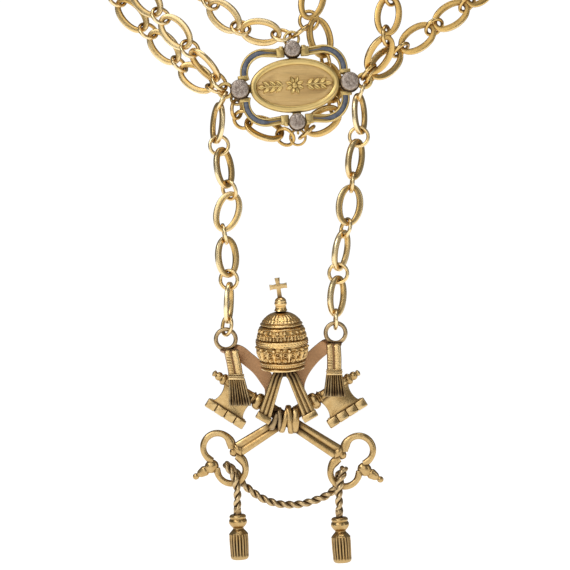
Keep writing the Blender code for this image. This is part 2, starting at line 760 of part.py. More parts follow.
STRAND_ROUTES = {
    "strand_outer": [
        (-23.7e-3, -121.5e-3, -270.5e-3), (-33.4e-3, -121.9e-3, -265.3e-3), (-43.4e-3, -122.0e-3, -254.0e-3),
        (-54.3e-3, -121.5e-3, -243.9e-3), (-68.0e-3, -120.5e-3, -225.0e-3), (-80.0e-3, -119.5e-3, -200.0e-3),
        (-90.0e-3, -119.0e-3, -165.0e-3), (-95.0e-3, -118.0e-3, -125.0e-3), (-94.0e-3, -110.0e-3, -90.0e-3),
        (-88.0e-3, -95.0e-3, -60.0e-3), (-74.0e-3, -60.0e-3, -39.0e-3), (-47.0e-3, -22.0e-3, -20.0e-3),
        (-21.0e-3, -3.5e-3, -10.5e-3), (0.0, 0.5e-3, -7.5e-3), (21.0e-3, -3.5e-3, -10.5e-3),
        (47.0e-3, -22.0e-3, -20.0e-3), (74.0e-3, -60.0e-3, -39.0e-3), (88.0e-3, -95.0e-3, -60.0e-3),
        (95.0e-3, -110.0e-3, -92.0e-3), (96.0e-3, -118.0e-3, -130.0e-3), (93.0e-3, -119.0e-3, -170.0e-3),
        (85.0e-3, -119.5e-3, -205.0e-3), (74.0e-3, -120.5e-3, -228.0e-3), (63.4e-3, -121.5e-3, -240.8e-3),
        (46.2e-3, -122.0e-3, -252.6e-3), (35.0e-3, -122.2e-3, -261.0e-3), (30.7e-3, -121.5e-3, -266.9e-3),
    ],
    "strand_middle": [
        (-22.6e-3, -128.5e-3, -268.6e-3), (-28.7e-3, -128.0e-3, -261.9e-3), (-36.8e-3, -127.6e-3, -252.6e-3),
        (-44.0e-3, -127.2e-3, -244.6e-3), (-48.0e-3, -126.8e-3, -240.6e-3), (-60.0e-3, -125.5e-3, -224.0e-3),
        (-70.0e-3, -124.5e-3, -200.0e-3), (-79.0e-3, -124.0e-3, -165.0e-3), (-84.0e-3, -121.0e-3, -125.0e-3),
        (-83.0e-3, -110.0e-3, -90.0e-3), (-78.0e-3, -92.0e-3, -60.0e-3), (-62.0e-3, -55.0e-3, -32.0e-3),
        (-40.0e-3, -20.0e-3, -11.0e-3), (-18.0e-3, -4.0e-3, -2.0e-3), (0.0, 0.0, 0.0),
        (18.0e-3, -4.0e-3, -2.0e-3), (40.0e-3, -20.0e-3, -11.0e-3), (62.0e-3, -55.0e-3, -32.0e-3),
        (78.0e-3, -92.0e-3, -60.0e-3), (81.0e-3, -110.0e-3, -85.0e-3), (76.0e-3, -121.0e-3, -118.0e-3),
        (66.0e-3, -124.0e-3, -152.0e-3), (52.0e-3, -124.5e-3, -190.0e-3), (41.0e-3, -125.5e-3, -222.0e-3),
        (35.6e-3, -127.2e-3, -244.0e-3), (34.4e-3, -128.0e-3, -257.0e-3), (28.4e-3, -128.5e-3, -265.4e-3),
    ],
    "strand_inner": [
        (-1.3e-3, -124.6e-3, -251.6e-3), (-9.2e-3, -124.4e-3, -250.6e-3), (-15.4e-3, -124.2e-3, -249.7e-3),
        (-21.7e-3, -124.0e-3, -245.8e-3), (-26.2e-3, -123.8e-3, -239.5e-3), (-36.0e-3, -122.8e-3, -222.0e-3),
        (-48.0e-3, -121.5e-3, -195.0e-3), (-58.0e-3, -120.0e-3, -160.0e-3), (-66.0e-3, -117.0e-3, -125.0e-3),
        (-69.0e-3, -107.0e-3, -90.0e-3), (-65.0e-3, -88.0e-3, -55.0e-3), (-52.0e-3, -55.0e-3, -26.0e-3),
        (-34.0e-3, -20.0e-3, -5.0e-3), (-16.0e-3, -4.0e-3, 5.0e-3), (0.0, 0.0, 7.5e-3),
        (16.0e-3, -4.0e-3, 5.0e-3), (34.0e-3, -20.0e-3, -5.0e-3), (52.0e-3, -55.0e-3, -26.0e-3),
        (65.0e-3, -88.0e-3, -55.0e-3), (62.0e-3, -107.0e-3, -90.0e-3), (52.0e-3, -117.0e-3, -125.0e-3),
        (39.0e-3, -120.0e-3, -160.0e-3), (25.0e-3, -121.5e-3, -195.0e-3), (14.5e-3, -122.4e-3, -222.0e-3),
        (10.4e-3, -122.9e-3, -242.1e-3),
    ],
}


def smooth_route(points, step):
    """Return points an even step apart on a smooth curve through the given points."""
    fine = []
    for index in range(len(points) - 1):
        before = points[max(index - 1, 0)]
        start = points[index]
        end = points[index + 1]
        after = points[min(index + 2, len(points) - 1)]
        for part in range(12):
            share = part / 12.0
            pull = start * 2.0 + (end - before) * share
            pull += (before * 2.0 - start * 5.0 + end * 4.0 - after) * share ** 2
            pull += (start * 3.0 - before - end * 3.0 + after) * share ** 3
            fine.append(pull * 0.5)
    fine.append(points[-1])
    run = [0.0]
    for index in range(len(fine) - 1):
        run.append(run[-1] + (fine[index + 1] - fine[index]).length)
    count = max(2, round(run[-1] / step))
    even = []
    place = 0
    for number in range(count + 1):
        goal = run[-1] * number / count
        while place < len(run) - 2 and run[place + 1] < goal:
            place += 1
        share = (goal - run[place]) / (run[place + 1] - run[place])
        even.append(fine[place].lerp(fine[place + 1], min(1.0, share)))
    return even


def build_strand(name, route, material):
    """Add a strand as a round tube along its route."""
    points = smooth_route([Vector(point) for point in route], STRAND_DIAMETER * STRAND_STEP)
    curve = bpy.data.curves.new(name, "CURVE")
    curve.dimensions = "3D"
    curve.bevel_depth = STRAND_DIAMETER / 2.0
    curve.bevel_resolution = 2
    curve.use_fill_caps = True
    spline = curve.splines.new("POLY")
    spline.points.add(len(points) - 1)
    for place, point in zip(spline.points, points):
        place.co = (point.x, point.y, point.z, 1.0)
    curve.materials.append(material)
    strand = bpy.data.objects.new(name, curve)
    bpy.context.scene.collection.objects.link(strand)
    return strand


# Pendant: every point below is given from the middle of the swing axis

def hanger_shell(side):
    """Return the ring that is soldered to a lappet's fold."""
    centre = side * hanger_offset() - Z_AXIS * HANGER_RADIUS
    shell = ring_shell(HANGER_RADIUS, HANGER_WIRE, 14, 6)
    return moved(shell, Matrix.Translation(centre))


def set_back(shell):
    """Return a pendant shell moved back so that the pendant's weight hangs under its rings."""
    return moved(shell, Matrix.Translation((0.0, BALANCE_SHIFT, 0.0)))


def ribbon(stations, thickness):
    """Sweep a flat strap; each station has a point, a width and the slope of its width."""
    rings = []
    for index, (point, width, slope) in enumerate(stations):
        ahead = stations[min(index + 1, len(stations) - 1)][0]
        behind = stations[max(index - 1, 0)][0]
        tangent = (ahead - behind).normalized()
        across = Vector((math.cos(slope), 0.0, math.sin(slope)))
        outward = tangent.cross(across).normalized()
        across = outward.cross(tangent).normalized()
        half = across * width / 2.0
        rise = outward * thickness / 2.0
        rings.append([point - half - rise, point + half - rise, point + half + rise, point - half + rise])
    return stack_rings(rings)


LAPPETS = {
    "lappet_left": {
        "side": -1.0,
        "back": [
            (-0.6e-3, -29.5e-3, 0.72), (-2.0e-3, -24.9e-3, 0.9), (-3.1e-3, -21.7e-3, 1.0),
            (-4.8e-3, -18.9e-3, 1.0), (-7.9e-3, -14.9e-3, 1.0), (-11.9e-3, -11.5e-3, 1.0),
            (-14.2e-3, -9.6e-3, 1.0),
        ],
        "hang": [(-16.9e-3, -9.4e-3), (-16.2e-3, -12.5e-3), (-15.5e-3, -16.6e-3)],
        "collar": (-15.4e-3, -17.4e-3),
        "fringe": ((-15.2e-3, -18.1e-3), (-13.9e-3, -27.7e-3)),
        "fringe_width": 5.9e-3,
    },
    "lappet_right": {
        "side": 1.0,
        "back": [
            (5.7e-3, -24.5e-3, 0.9), (5.9e-3, -20.5e-3, 1.0), (7.6e-3, -16.0e-3, 1.0),
            (10.8e-3, -11.6e-3, 1.0), (14.0e-3, -8.6e-3, 1.0),
        ],
        "hang": [(18.3e-3, -7.4e-3), (18.5e-3, -11.0e-3), (18.5e-3, -15.0e-3)],
        "collar": (18.5e-3, -15.8e-3),
        "fringe": ((18.5e-3, -16.5e-3), (18.6e-3, -24.5e-3)),
        "fringe_width": 5.9e-3,
    },
}


def strap_stations(lappet):
    """Return the stations of a strap that climbs behind, folds over and hangs in front."""
    side = lappet["side"]
    stations = []
    back = lappet["back"]
    for index, (x, z, narrowing) in enumerate(back):
        ahead = back[min(index + 1, len(back) - 1)]
        behind = back[max(index - 1, 0)]
        slope = math.atan2(ahead[1] - behind[1], ahead[0] - behind[0]) - math.pi / 2.0
        stations.append((Vector((x, STRAP_BACK, z)), STRAP_WIDTH * narrowing, slope))
    last_slope = stations[-1][2]
    top_x = side * HANGER_SPREAD / 2.0
    top_z = side * HANGER_RISE / 2.0 - 2.0 * HANGER_RADIUS - STRAP_THICKNESS * 0.4
    first_x, first_z = lappet["hang"][0]
    start = stations[-1][0]
    middle = (STRAP_BACK + HANG_FRONT) / 2.0
    stations.append((Vector(((start.x + top_x) / 2.0, STRAP_BACK * 0.86, (start.z + top_z * 3.0) / 4.0)),
                     STRAP_WIDTH, last_slope * 0.62))
    stations.append((Vector((top_x - side * 0.7e-3, STRAP_BACK * 0.45, top_z)), STRAP_WIDTH, last_slope * 0.3))
    stations.append((Vector((top_x - side * 0.4e-3, middle, top_z + 0.1e-3)), STRAP_WIDTH, last_slope * 0.1))
    stations.append((Vector(((top_x + first_x) / 2.0, HANG_FRONT * 0.5, top_z)), STRAP_WIDTH, 0.0))
    stations.append((Vector((first_x, HANG_FRONT * 0.9, (top_z + first_z) / 2.0 + 0.2e-3)), STRAP_WIDTH, 0.0))
    for x, z in lappet["hang"]:
        stations.append((Vector((x, HANG_FRONT, z)), STRAP_WIDTH, 0.0))
    return stations


def fringe_shell(lappet):
    """Return the ribbed fringe, wider at its foot."""
    (top_x, top_z), (foot_x, foot_z) = lappet["fringe"]
    ribs = 6
    rings = []
    for share in (0.0, 0.5, 1.0):
        x = top_x + (foot_x - top_x) * share
        z = top_z + (foot_z - top_z) * share
        width = lappet["fringe_width"] * (1.0 + (FRINGE_FLARE - 1.0) * share)
        front = HANG_FRONT - FRINGE_DEPTH / 2.0
        back = HANG_FRONT + FRINGE_DEPTH / 2.0
        ring = [Vector((x + width / 2.0, back, z)), Vector((x - width / 2.0, back, z))]
        for step in range(2 * ribs + 1):
            sunk = 0.35e-3 if step % 2 == 0 else 0.0
            ring.append(Vector((x - width / 2.0 + width * step / (2 * ribs), front + sunk, z)))
        rings.append(ring)
    return stack_rings(rings)


def build_lappet(name, lappet, material, parent):
    """Make a lappet with its strap, ribs, collar, fringe and soldered ring."""
    stations = strap_stations(lappet)
    parts = []
    for offset in (-1.0, 1.0):
        rib = []
        for point, width, slope in stations[-4:]:
            place = point + Vector((offset * STRAP_WIDTH * 0.23, -STRAP_THICKNESS * 0.45, 0.0))
            rib.append((place, STRAP_WIDTH * 0.3, slope))
        parts.append(ribbon(rib, STRAP_THICKNESS))
    collar_x, collar_z = lappet["collar"]
    collar_size = (STRAP_WIDTH * 1.12, FRINGE_DEPTH * 1.15, 1.9e-3)
    parts.append(block((collar_x, HANG_FRONT - 0.1e-3, collar_z), collar_size))
    parts.append(fringe_shell(lappet))
    shells = [set_back(shell) for shell in parts]
    shells.append(hanger_shell(lappet["side"]))
    mesh = fuse(name, [set_back(ribbon(stations, STRAP_THICKNESS))], shells, overlapping=True)
    return add_piece(name, mesh, material, parent)


def key_matrix(side, depth):
    """Return the placing of a key; the side is the one its bit points to."""
    along = Vector((side * math.cos(KEY_SLOPE), 0.0, math.sin(KEY_SLOPE)))
    above = Vector((-side * math.sin(KEY_SLOPE), 0.0, math.cos(KEY_SLOPE)))
    basis = Matrix((along, Y_AXIS, above)).transposed().to_4x4()
    return Matrix.Translation((CROSSING_X, depth, CROSSING_Z)) @ basis


def spun_bar(profile, flatness):
    """Turn a profile of distance along the key and radius, flattened in depth."""
    rings = []
    for along, radius in profile:
        ring = []
        for step in range(8):
            angle = 2.0 * math.pi * (step + 0.5) / 8.0
            ring.append(Vector((along, radius * flatness * math.cos(angle), radius * math.sin(angle))))
        rings.append(ring)
    return stack_rings(rings)


def reeded_shaft(start, end):
    """Return the shaft with a groove along its front and back."""
    half = SHAFT_WIDTH / 2.0
    deep = SHAFT_DEPTH / 2.0
    section = [(1.0, 0.0), (0.78, 0.8), (0.42, 1.0), (0.0, 0.5), (-0.42, 1.0), (-0.78, 0.8)]
    section += [(-across, -depth) for across, depth in section]
    return stack_rings([
        [Vector((along, deep * depth, half * across)) for across, depth in section]
        for along in (start, end)
    ])


def key_shells():
    """Return the shells of a key in its own frame, its bit toward +X and its wards below."""
    finial = BIT_CENTRE + BIT_LENGTH / 2.0
    bulb = BIT_CENTRE - BIT_LENGTH / 2.0
    bulbs = [
        (bulb - 4.4e-3, 1.7e-3), (bulb - 2.9e-3, 2.0e-3), (bulb - 2.3e-3, 2.7e-3), (bulb - 1.6e-3, 1.9e-3),
        (bulb - 0.6e-3, 2.9e-3), (bulb + 1.2e-3, 2.9e-3), (bulb + 2.0e-3, 1.9e-3), (bulb + 2.9e-3, 2.6e-3),
        (bulb + 3.9e-3, 1.8e-3), (finial - 1.9e-3, 1.8e-3), (finial - 1.4e-3, 2.5e-3), (finial - 0.3e-3, 2.4e-3),
        (finial + 0.3e-3, 1.6e-3), (finial + 1.1e-3, 2.2e-3), (finial + 2.2e-3, 1.9e-3), (finial + 3.5e-3, 0.6e-3),
    ]
    neck = KEY_BOW_REACH - 6.2e-3
    collar = [
        (-neck + 0.8e-3, 1.7e-3), (-neck - 0.2e-3, 2.6e-3), (-neck - 1.1e-3, 2.5e-3), (-neck - 1.7e-3, 1.6e-3),
        (-neck - 3.5e-3, 1.2e-3),
    ]
    tip = KEY_BOW_REACH + 6.5e-3
    far_tip = [
        (-tip - 6.3e-3, 0.5e-3), (-tip - 5.2e-3, 1.5e-3), (-tip - 4.1e-3, 2.2e-3), (-tip - 2.8e-3, 2.1e-3),
        (-tip - 2.0e-3, 1.5e-3), (-tip - 1.2e-3, 2.5e-3), (-tip, 2.3e-3), (-tip + 0.7e-3, 1.2e-3),
        (-tip + 3.6e-3, 1.1e-3),
    ]
    shells = [spun_bar(bulbs, 0.62), spun_bar(collar, 0.62), spun_bar(far_tip, 0.62)]
    near = BIT_CENTRE - BIT_LENGTH / 2.0
    far = BIT_CENTRE + BIT_LENGTH / 2.0
    plate_foot = -BIT_DROP + WARD_HEIGHT / 2.0 - 0.2e-3
    waist = 0.17 * BIT_LENGTH
    plate = [
        (near, -0.08 * BIT_DROP), (near + waist * 0.8, -0.27 * BIT_DROP), (near + waist, -0.47 * BIT_DROP),
        (near + waist * 0.7, -0.68 * BIT_DROP), (near + waist * 0.27, plate_foot),
        (far - waist * 0.27, plate_foot), (far - waist * 0.7, -0.68 * BIT_DROP),
        (far - waist, -0.47 * BIT_DROP), (far - waist * 0.8, -0.27 * BIT_DROP), (far, -0.08 * BIT_DROP),
    ]
    shells.append(prism(plate, -PLATE_DEPTH / 2.0, PLATE_DEPTH / 2.0))
    backing = (BIT_LENGTH - 1.6e-3, PLATE_DEPTH * 0.9, WARD_HEIGHT * 0.6)
    shells.append(block((BIT_CENTRE, 0.0, -BIT_DROP + WARD_HEIGHT * 0.3), backing))
    pitch = BIT_LENGTH / WARD_COUNT
    for number in range(WARD_COUNT):
        middle = near + pitch * (number + 0.5)
        shells.append(block((middle, 0.0, -BIT_DROP), (pitch * 0.86, WARD_DEPTH, WARD_HEIGHT)))
    for sign in (-1.0, 1.0):
        lobe = []
        for step in range(BOW_STEPS + 1):
            turn = BOW_START + (math.pi - 2.0 * BOW_START) * step / BOW_STEPS
            x = -KEY_BOW_REACH + BOW_RADIUS * math.cos(turn)
            lobe.append(Vector((x, 0.0, sign * (BOW_SPREAD + BOW_RADIUS * math.sin(turn)))))
        shells.append(band_along(lobe, flat_section(BOW_BAND, BOW_THICKNESS)))
    return shells


# Half of a wrap of the knot: its height as a share of half the knot's, and its rise
WRAP_ARCH = [(1.0, -1.7e-3), (0.82, -0.68e-3), (0.45, -0.09e-3)]


def knot_shells():
    """Return the wraps of the knot that is soldered over the crossing."""
    arch = WRAP_ARCH + [(0.0, 0.18e-3)] + [(-share, rise) for share, rise in reversed(WRAP_ARCH)]
    shells = []
    half = KNOT_HEIGHT / 2.0
    base = -KEY_OFFSET - SHAFT_DEPTH / 2.0
    for number in range(4):
        x = CROSSING_X + (number - 1.5) * KNOT_PITCH
        rings = []
        for share, rise in arch:
            centre = Vector((x, base - KNOT_RISE * 0.2 - rise, CROSSING_Z + share * (half - 0.6e-3)))
            outward = Vector((0.0, -math.cos(share * 1.2), -math.sin(-share * 1.2)))
            ring = []
            for step in range(6):
                angle = 2.0 * math.pi * step / 6.0
                spread = X_AXIS * (KNOT_WRAP / 2.0 * math.cos(angle))
                ring.append(centre + spread + outward * (0.8e-3 * math.sin(angle)))
            rings.append(ring)
        shells.append(stack_rings(rings))
    return shells


def build_keys(materials, parent):
    """Make both keys; the knot belongs to the front one."""
    for name, side, depth in (("key_front", -1.0, -KEY_OFFSET), ("key_rear", 1.0, KEY_OFFSET)):
        placing = key_matrix(side, depth)
        neck = KEY_BOW_REACH - 6.2e-3
        shaft = moved(reeded_shaft(-neck, BIT_CENTRE - BIT_LENGTH / 2.0 - 2.6e-3), placing)
        others = [moved(shell, placing) for shell in key_shells()]
        if name == "key_front":
            others += knot_shells()
        mesh = fuse(name, [set_back(shaft)], [set_back(shell) for shell in others], overlapping=True)
        add_piece(name, mesh, materials["gilt_bronze"], parent)


STAY_DEPTH_PLACE = -4.7e-3
STAYS = {
    "stay_left": {
        "path": [(-0.6e-3, 1.5e-3), (-0.6e-3, -14.7e-3), (-1.6e-3, -18.4e-3), (-5.7e-3, -31.3e-3)],
        "foot": (-5.9e-3, -31.6e-3),
        "slope": -0.52,
    },
    "stay_right": {
        "path": [(3.3e-3, 1.5e-3), (3.3e-3, -14.7e-3), (4.6e-3, -18.2e-3), (9.95e-3, -30.6e-3)],
        "foot": (10.1e-3, -31.0e-3),
        "slope": 0.52,
    },
}


def build_stay(name, stay, material, parent):
    """Make a stay with three ribs and a square-cut block at its foot."""
    rings = []
    section = [(-1.0, 0.5), (-1.0, -0.2), (-0.67, -0.5), (-0.34, -0.2), (0.0, -0.5), (0.34, -0.2), (0.67, -0.5)]
    section += [(1.0, -0.2), (1.0, 0.5)]
    points = [Vector((x, STAY_DEPTH_PLACE, z)) for x, z in stay["path"]]
    for index, point in enumerate(points):
        ahead = points[min(index + 1, len(points) - 1)]
        behind = points[max(index - 1, 0)]
        along = (ahead - behind).normalized()
        across = along.cross(Y_AXIS)
        width = STAY_WIDTH_TOP + (STAY_WIDTH_FOOT - STAY_WIDTH_TOP) * max(0, index - 1) / 2.0
        rings.append([
            point + across * (width / 2.0 * reach) + Y_AXIS * (STAY_DEPTH * depth) for reach, depth in section
        ])
    back = -KEY_OFFSET - SHAFT_DEPTH / 2.0 - SEAT_GAP * 1.5
    front = STAY_DEPTH_PLACE - STAY_DEPTH / 2.0 - 0.2e-3
    slab = block((0.0, (front + back) / 2.0, 0.0), (STAY_WIDTH_FOOT * 1.15, back - front, STAY_BLOCK))
    foot_x, foot_z = stay["foot"]
    placing = Matrix.Translation((foot_x, 0.0, foot_z)) @ Matrix.Rotation(-stay["slope"], 4, "Y")
    mesh = fuse(name, [set_back(stack_rings(rings))], [set_back(moved(slab, placing))])
    return add_piece(name, mesh, material, parent)


def tiara_matrix():
    """Return the placing of the tiara's axis frame."""
    place = Matrix.Translation((TIARA_X, TIARA_FORWARD + BALANCE_SHIFT, TIARA_FOOT))
    return place @ Matrix.Rotation(-TIARA_LEAN, 4, "Y") @ Matrix.Rotation(TIARA_NOD, 4, "X")


TIARA_PROFILE = [
    (0.79, 0.0, 0.0), (0.84, 0.03, 0.0), (0.87, 0.14, 0.0), (0.86, 0.16, 0.0),
    (0.90, 0.21, 1.0), (0.96, 0.29, -1.0), (0.99, 0.35, 1.0), (0.94, 0.44, 0.0), (0.97, 0.46, 0.0),
    (0.98, 0.55, 0.0), (0.94, 0.57, 0.0), (0.92, 0.62, 1.0), (0.91, 0.67, -1.0), (0.82, 0.75, 0.0),
    (0.78, 0.77, 0.0), (0.76, 0.85, 0.0), (0.68, 0.87, 0.0), (0.58, 0.93, 0.6), (0.42, 0.98, 0.0),
    (0.20, 1.0, 0.0),
]
TIARA_INSIDE = [(0.08, 0.945), (0.49, 0.90), (0.69, 0.80), (0.82, 0.55), (0.84, 0.30), (0.76, 0.0)]


def build_tiara(materials, parent):
    """Make the hollow tiara, and the orb with its cross standing on it."""
    rings = []
    for radius, height in TIARA_INSIDE:
        ring = []
        for step in range(TIARA_SIDES):
            angle = 2.0 * math.pi * step / TIARA_SIDES
            reach = radius * (TIARA_RADIUS - TIARA_WALL)
            ring.append(Vector((reach * math.cos(angle), reach * math.sin(angle), height * TIARA_HEIGHT)))
        rings.append(ring)
    for radius, height, relief in TIARA_PROFILE:
        ring = []
        for step in range(TIARA_SIDES):
            angle = 2.0 * math.pi * step / TIARA_SIDES
            reach = radius * TIARA_RADIUS + relief * RELIEF * (1.0 if step % 2 else -0.4)
            ring.append(Vector((reach * math.cos(angle), reach * math.sin(angle), height * TIARA_HEIGHT)))
        rings.append(ring)
    mesh = build_mesh("tiara", [moved(stack_rings(rings), tiara_matrix())])
    add_piece("tiara", mesh, materials["gilt_bronze"], parent)
    base = TIARA_HEIGHT + SEAT_GAP
    centre = base + 0.75e-3 + ORB_RADIUS
    profile = [(1.25e-3, base), (0.95e-3, base + 0.6e-3)]
    for step in range(7):
        angle = math.radians(-62.0 + 24.0 * step)
        profile.append((ORB_RADIUS * math.cos(angle), centre + ORB_RADIUS * math.sin(angle)))
    orb = moved(turned(profile, 14), tiara_matrix())
    half = CROSS_BAR / 2.0
    foot = ORB_RADIUS * 0.9
    top = ORB_RADIUS + CROSS_HEIGHT
    arm = foot + CROSS_HEIGHT * 0.6
    wing = CROSS_WIDTH / 2.0
    outline = [
        (-half * 0.75, foot), (half * 0.75, foot), (half * 0.75, arm - half), (wing, arm - half * 1.1),
        (wing, arm + half * 1.1), (half * 0.8, arm + half), (half, top), (-half, top),
        (-half * 0.8, arm + half), (-wing, arm + half * 1.1), (-wing, arm - half * 1.1),
        (-half * 0.75, arm - half),
    ]
    cross = prism(outline, -CROSS_DEPTH / 2.0, CROSS_DEPTH / 2.0)
    turn = Matrix.Translation((0.0, 0.0, centre)) @ Matrix.Rotation(-CROSS_LEAN, 4, "Y")
    mesh = fuse("tiara_cross", [orb], [moved(cross, tiara_matrix() @ turn)])
    add_piece("tiara_cross", mesh, materials["gilt_bronze"], parent)


SWAG_ROUTE = [
    (-15.0e-3, -1.1e-3, -65.1e-3), (-15.1e-3, -1.1e-3, -60.6e-3), (-15.1e-3, -1.1e-3, -57.1e-3),
    (-15.6e-3, -1.0e-3, -52.9e-3), (-16.7e-3, 0.4e-3, -49.6e-3), (-17.0e-3, 1.7e-3, -48.8e-3),
    (-16.4e-3, 3.2e-3, -49.8e-3), (-14.9e-3, 4.4e-3, -51.8e-3), (-13.5e-3, 4.4e-3, -55.3e-3),
    (-10.7e-3, 4.3e-3, -57.7e-3), (-7.2e-3, 4.0e-3, -60.2e-3), (-3.8e-3, 3.6e-3, -61.6e-3),
    (-0.9e-3, 3.2e-3, -62.4e-3), (3.1e-3, 2.6e-3, -62.6e-3), (6.5e-3, 2.2e-3, -62.4e-3),
    (9.9e-3, 1.8e-3, -61.6e-3), (13.9e-3, 1.4e-3, -60.2e-3), (16.8e-3, 1.2e-3, -58.7e-3),
    (18.8e-3, 1.1e-3, -56.7e-3), (19.8e-3, 1.0e-3, -53.0e-3), (20.8e-3, 0.1e-3, -50.0e-3),
    (21.2e-3, -1.7e-3, -48.9e-3), (20.9e-3, -3.5e-3, -50.2e-3), (20.5e-3, -4.3e-3, -53.2e-3),
    (20.1e-3, -4.4e-3, -57.0e-3), (20.2e-3, -4.4e-3, -61.0e-3), (20.3e-3, -4.4e-3, -65.6e-3),
]


def build_swag(material, parent):
    """Make the twisted cord that loops through both bows."""
    route = smooth_route([Vector(point) for point in SWAG_ROUTE], CORD_DIAMETER * 0.55)
    rings = []
    across = X_AXIS
    run = 0.0
    for index, point in enumerate(route):
        ahead = route[min(index + 1, len(route) - 1)]
        behind = route[max(index - 1, 0)]
        along = (ahead - behind).normalized()
        across = (across - along * across.dot(along)).normalized()
        aside = along.cross(across)
        if index:
            run += (point - route[index - 1]).length
        ring = []
        for step in range(6):
            angle = 2.0 * math.pi * step / 6.0
            lobes = 1.0 if step % 3 == 0 else 0.8
            turn = angle + math.pi * run / CORD_PITCH
            reach = CORD_DIAMETER / 2.0 * lobes
            ring.append(point + across * (reach * math.cos(turn)) + aside * (reach * math.sin(turn)))
        rings.append(ring)
    mesh = build_mesh("swag_cord", [set_back(stack_rings(rings))])
    return add_piece("swag_cord", mesh, material, parent)


def build_tassel(name, end, material, parent):
    """Make a tassel: a ball, a neck and a fluted skirt."""
    top = -SEAT_GAP
    neck = top - TASSEL_LENGTH * 0.3
    foot = top - TASSEL_LENGTH
    profile = [
        (1.2e-3, top), (TASSEL_BALL * 0.75, top - 0.7e-3), (TASSEL_BALL, top - 2.4e-3),
        (TASSEL_BALL * 0.8, neck + 0.5e-3), (1.5e-3, neck - 0.3e-3), (1.5e-3, neck - 1.1e-3),
        (TASSEL_SKIRT * 0.72, neck - 1.5e-3), (TASSEL_SKIRT * 0.85, neck - 4.0e-3), (TASSEL_SKIRT, foot),
    ]
    shell = turned(profile, 16, flutes=8, flute_depth=0.16e-3)
    mesh = build_mesh(name, [set_back(moved(shell, Matrix.Translation(end)))])
    return add_piece(name, mesh, material, parent)


def build_pendant(materials):
    """Make everything that swings on the two hangers."""
    pivot = add_empty("pendant_pivot", pendant_origin())
    for name, lappet in LAPPETS.items():
        build_lappet(name, lappet, materials["gilt_bronze"], pivot)
    build_keys(materials, pivot)
    for name, stay in STAYS.items():
        build_stay(name, stay, materials["gilt_bronze"], pivot)
    build_tiara(materials, pivot)
    build_swag(materials["tarnished_brass"], pivot)
    build_tassel("tassel_left", SWAG_ROUTE[0], materials["gilt_bronze"], pivot)
    build_tassel("tassel_right", SWAG_ROUTE[-1], materials["gilt_bronze"], pivot)


clear_scene()
FINISH = make_materials()
build_medallion(FINISH)
build_drop_chain("drop_chain_left", -1.0, DROP_TABLE_LEFT, FINISH["pale_gilt"])
build_drop_chain("drop_chain_right", 1.0, DROP_TABLE_RIGHT, FINISH["pale_gilt"])
build_under_chain(FINISH["pale_gilt"])
for strand_name, strand_route in STRAND_ROUTES.items():
    build_strand(strand_name, strand_route, FINISH["pale_gilt"])
build_pendant(FINISH)
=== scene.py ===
"""Chain of office in gilt bronze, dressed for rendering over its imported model.

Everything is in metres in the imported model's frame: +Z up, +Y away from the viewer, the origin
at the nape. Each sub-assembly is a class that builds its meshes and gives them their finish.
"""

from __future__ import annotations

import json
import logging
import math
import random
from collections.abc import Callable, Sequence
from dataclasses import dataclass, field
from enum import Enum

import bmesh
import bpy
import numpy as np
from bpy.types import ID, Material, Mesh, Node, NodeSocket, NodeTree, Object
from mathutils import Matrix, Vector, noise
from mathutils.bvhtree import BVHTree

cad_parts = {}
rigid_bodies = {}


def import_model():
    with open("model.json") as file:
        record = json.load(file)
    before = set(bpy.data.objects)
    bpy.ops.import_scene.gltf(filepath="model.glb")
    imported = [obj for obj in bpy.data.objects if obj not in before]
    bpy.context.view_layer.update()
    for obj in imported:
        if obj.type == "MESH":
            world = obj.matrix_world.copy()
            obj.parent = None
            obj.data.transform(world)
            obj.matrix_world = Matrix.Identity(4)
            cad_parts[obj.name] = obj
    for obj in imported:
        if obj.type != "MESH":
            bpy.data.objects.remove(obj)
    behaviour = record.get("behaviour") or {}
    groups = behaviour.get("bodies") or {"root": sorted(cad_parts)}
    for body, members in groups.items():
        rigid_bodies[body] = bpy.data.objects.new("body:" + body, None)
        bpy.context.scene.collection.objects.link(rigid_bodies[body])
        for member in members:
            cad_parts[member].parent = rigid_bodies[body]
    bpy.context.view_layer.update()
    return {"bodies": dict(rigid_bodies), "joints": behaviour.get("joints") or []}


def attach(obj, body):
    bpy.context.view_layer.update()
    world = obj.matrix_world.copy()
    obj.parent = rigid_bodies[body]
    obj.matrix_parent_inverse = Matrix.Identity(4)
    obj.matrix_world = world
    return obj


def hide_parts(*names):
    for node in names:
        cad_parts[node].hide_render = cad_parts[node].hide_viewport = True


LOG = logging.getLogger("chain_of_office")

Shell = tuple[list[Vector], list[tuple[int, ...]]]

X_AXIS = Vector((1.0, 0.0, 0.0))
Y_AXIS = Vector((0.0, 1.0, 0.0))
Z_AXIS = Vector((0.0, 0.0, 1.0))

MM = 0.001
CHEST_Y = -125.0 * MM
MEDALLION_CENTRE = Vector((3.4 * MM, CHEST_Y, -269.6 * MM))
MEDALLION_TILT = math.radians(4.0)
PIVOT = Vector((-1.5 * MM, CHEST_Y, -353.083 * MM))
HANGER_SPREAD = 38.1 * MM
HANGER_RISE = 2.2 * MM
BALANCE_SHIFT = 2.0 * MM
KEY_OFFSET = 1.6 * MM
SHAFT_DEPTH = 2.9 * MM
CROSSING = Vector((2.0 * MM, 0.0, -32.4 * MM))

# The radius to which a turned shape closes, how far a neighbour shades, and the angle of a sharp edge
TIP = 0.02 * MM
HOLLOW_REACH = 3.0 * MM
SHARP_EDGE = math.radians(50.0)


# Shaders


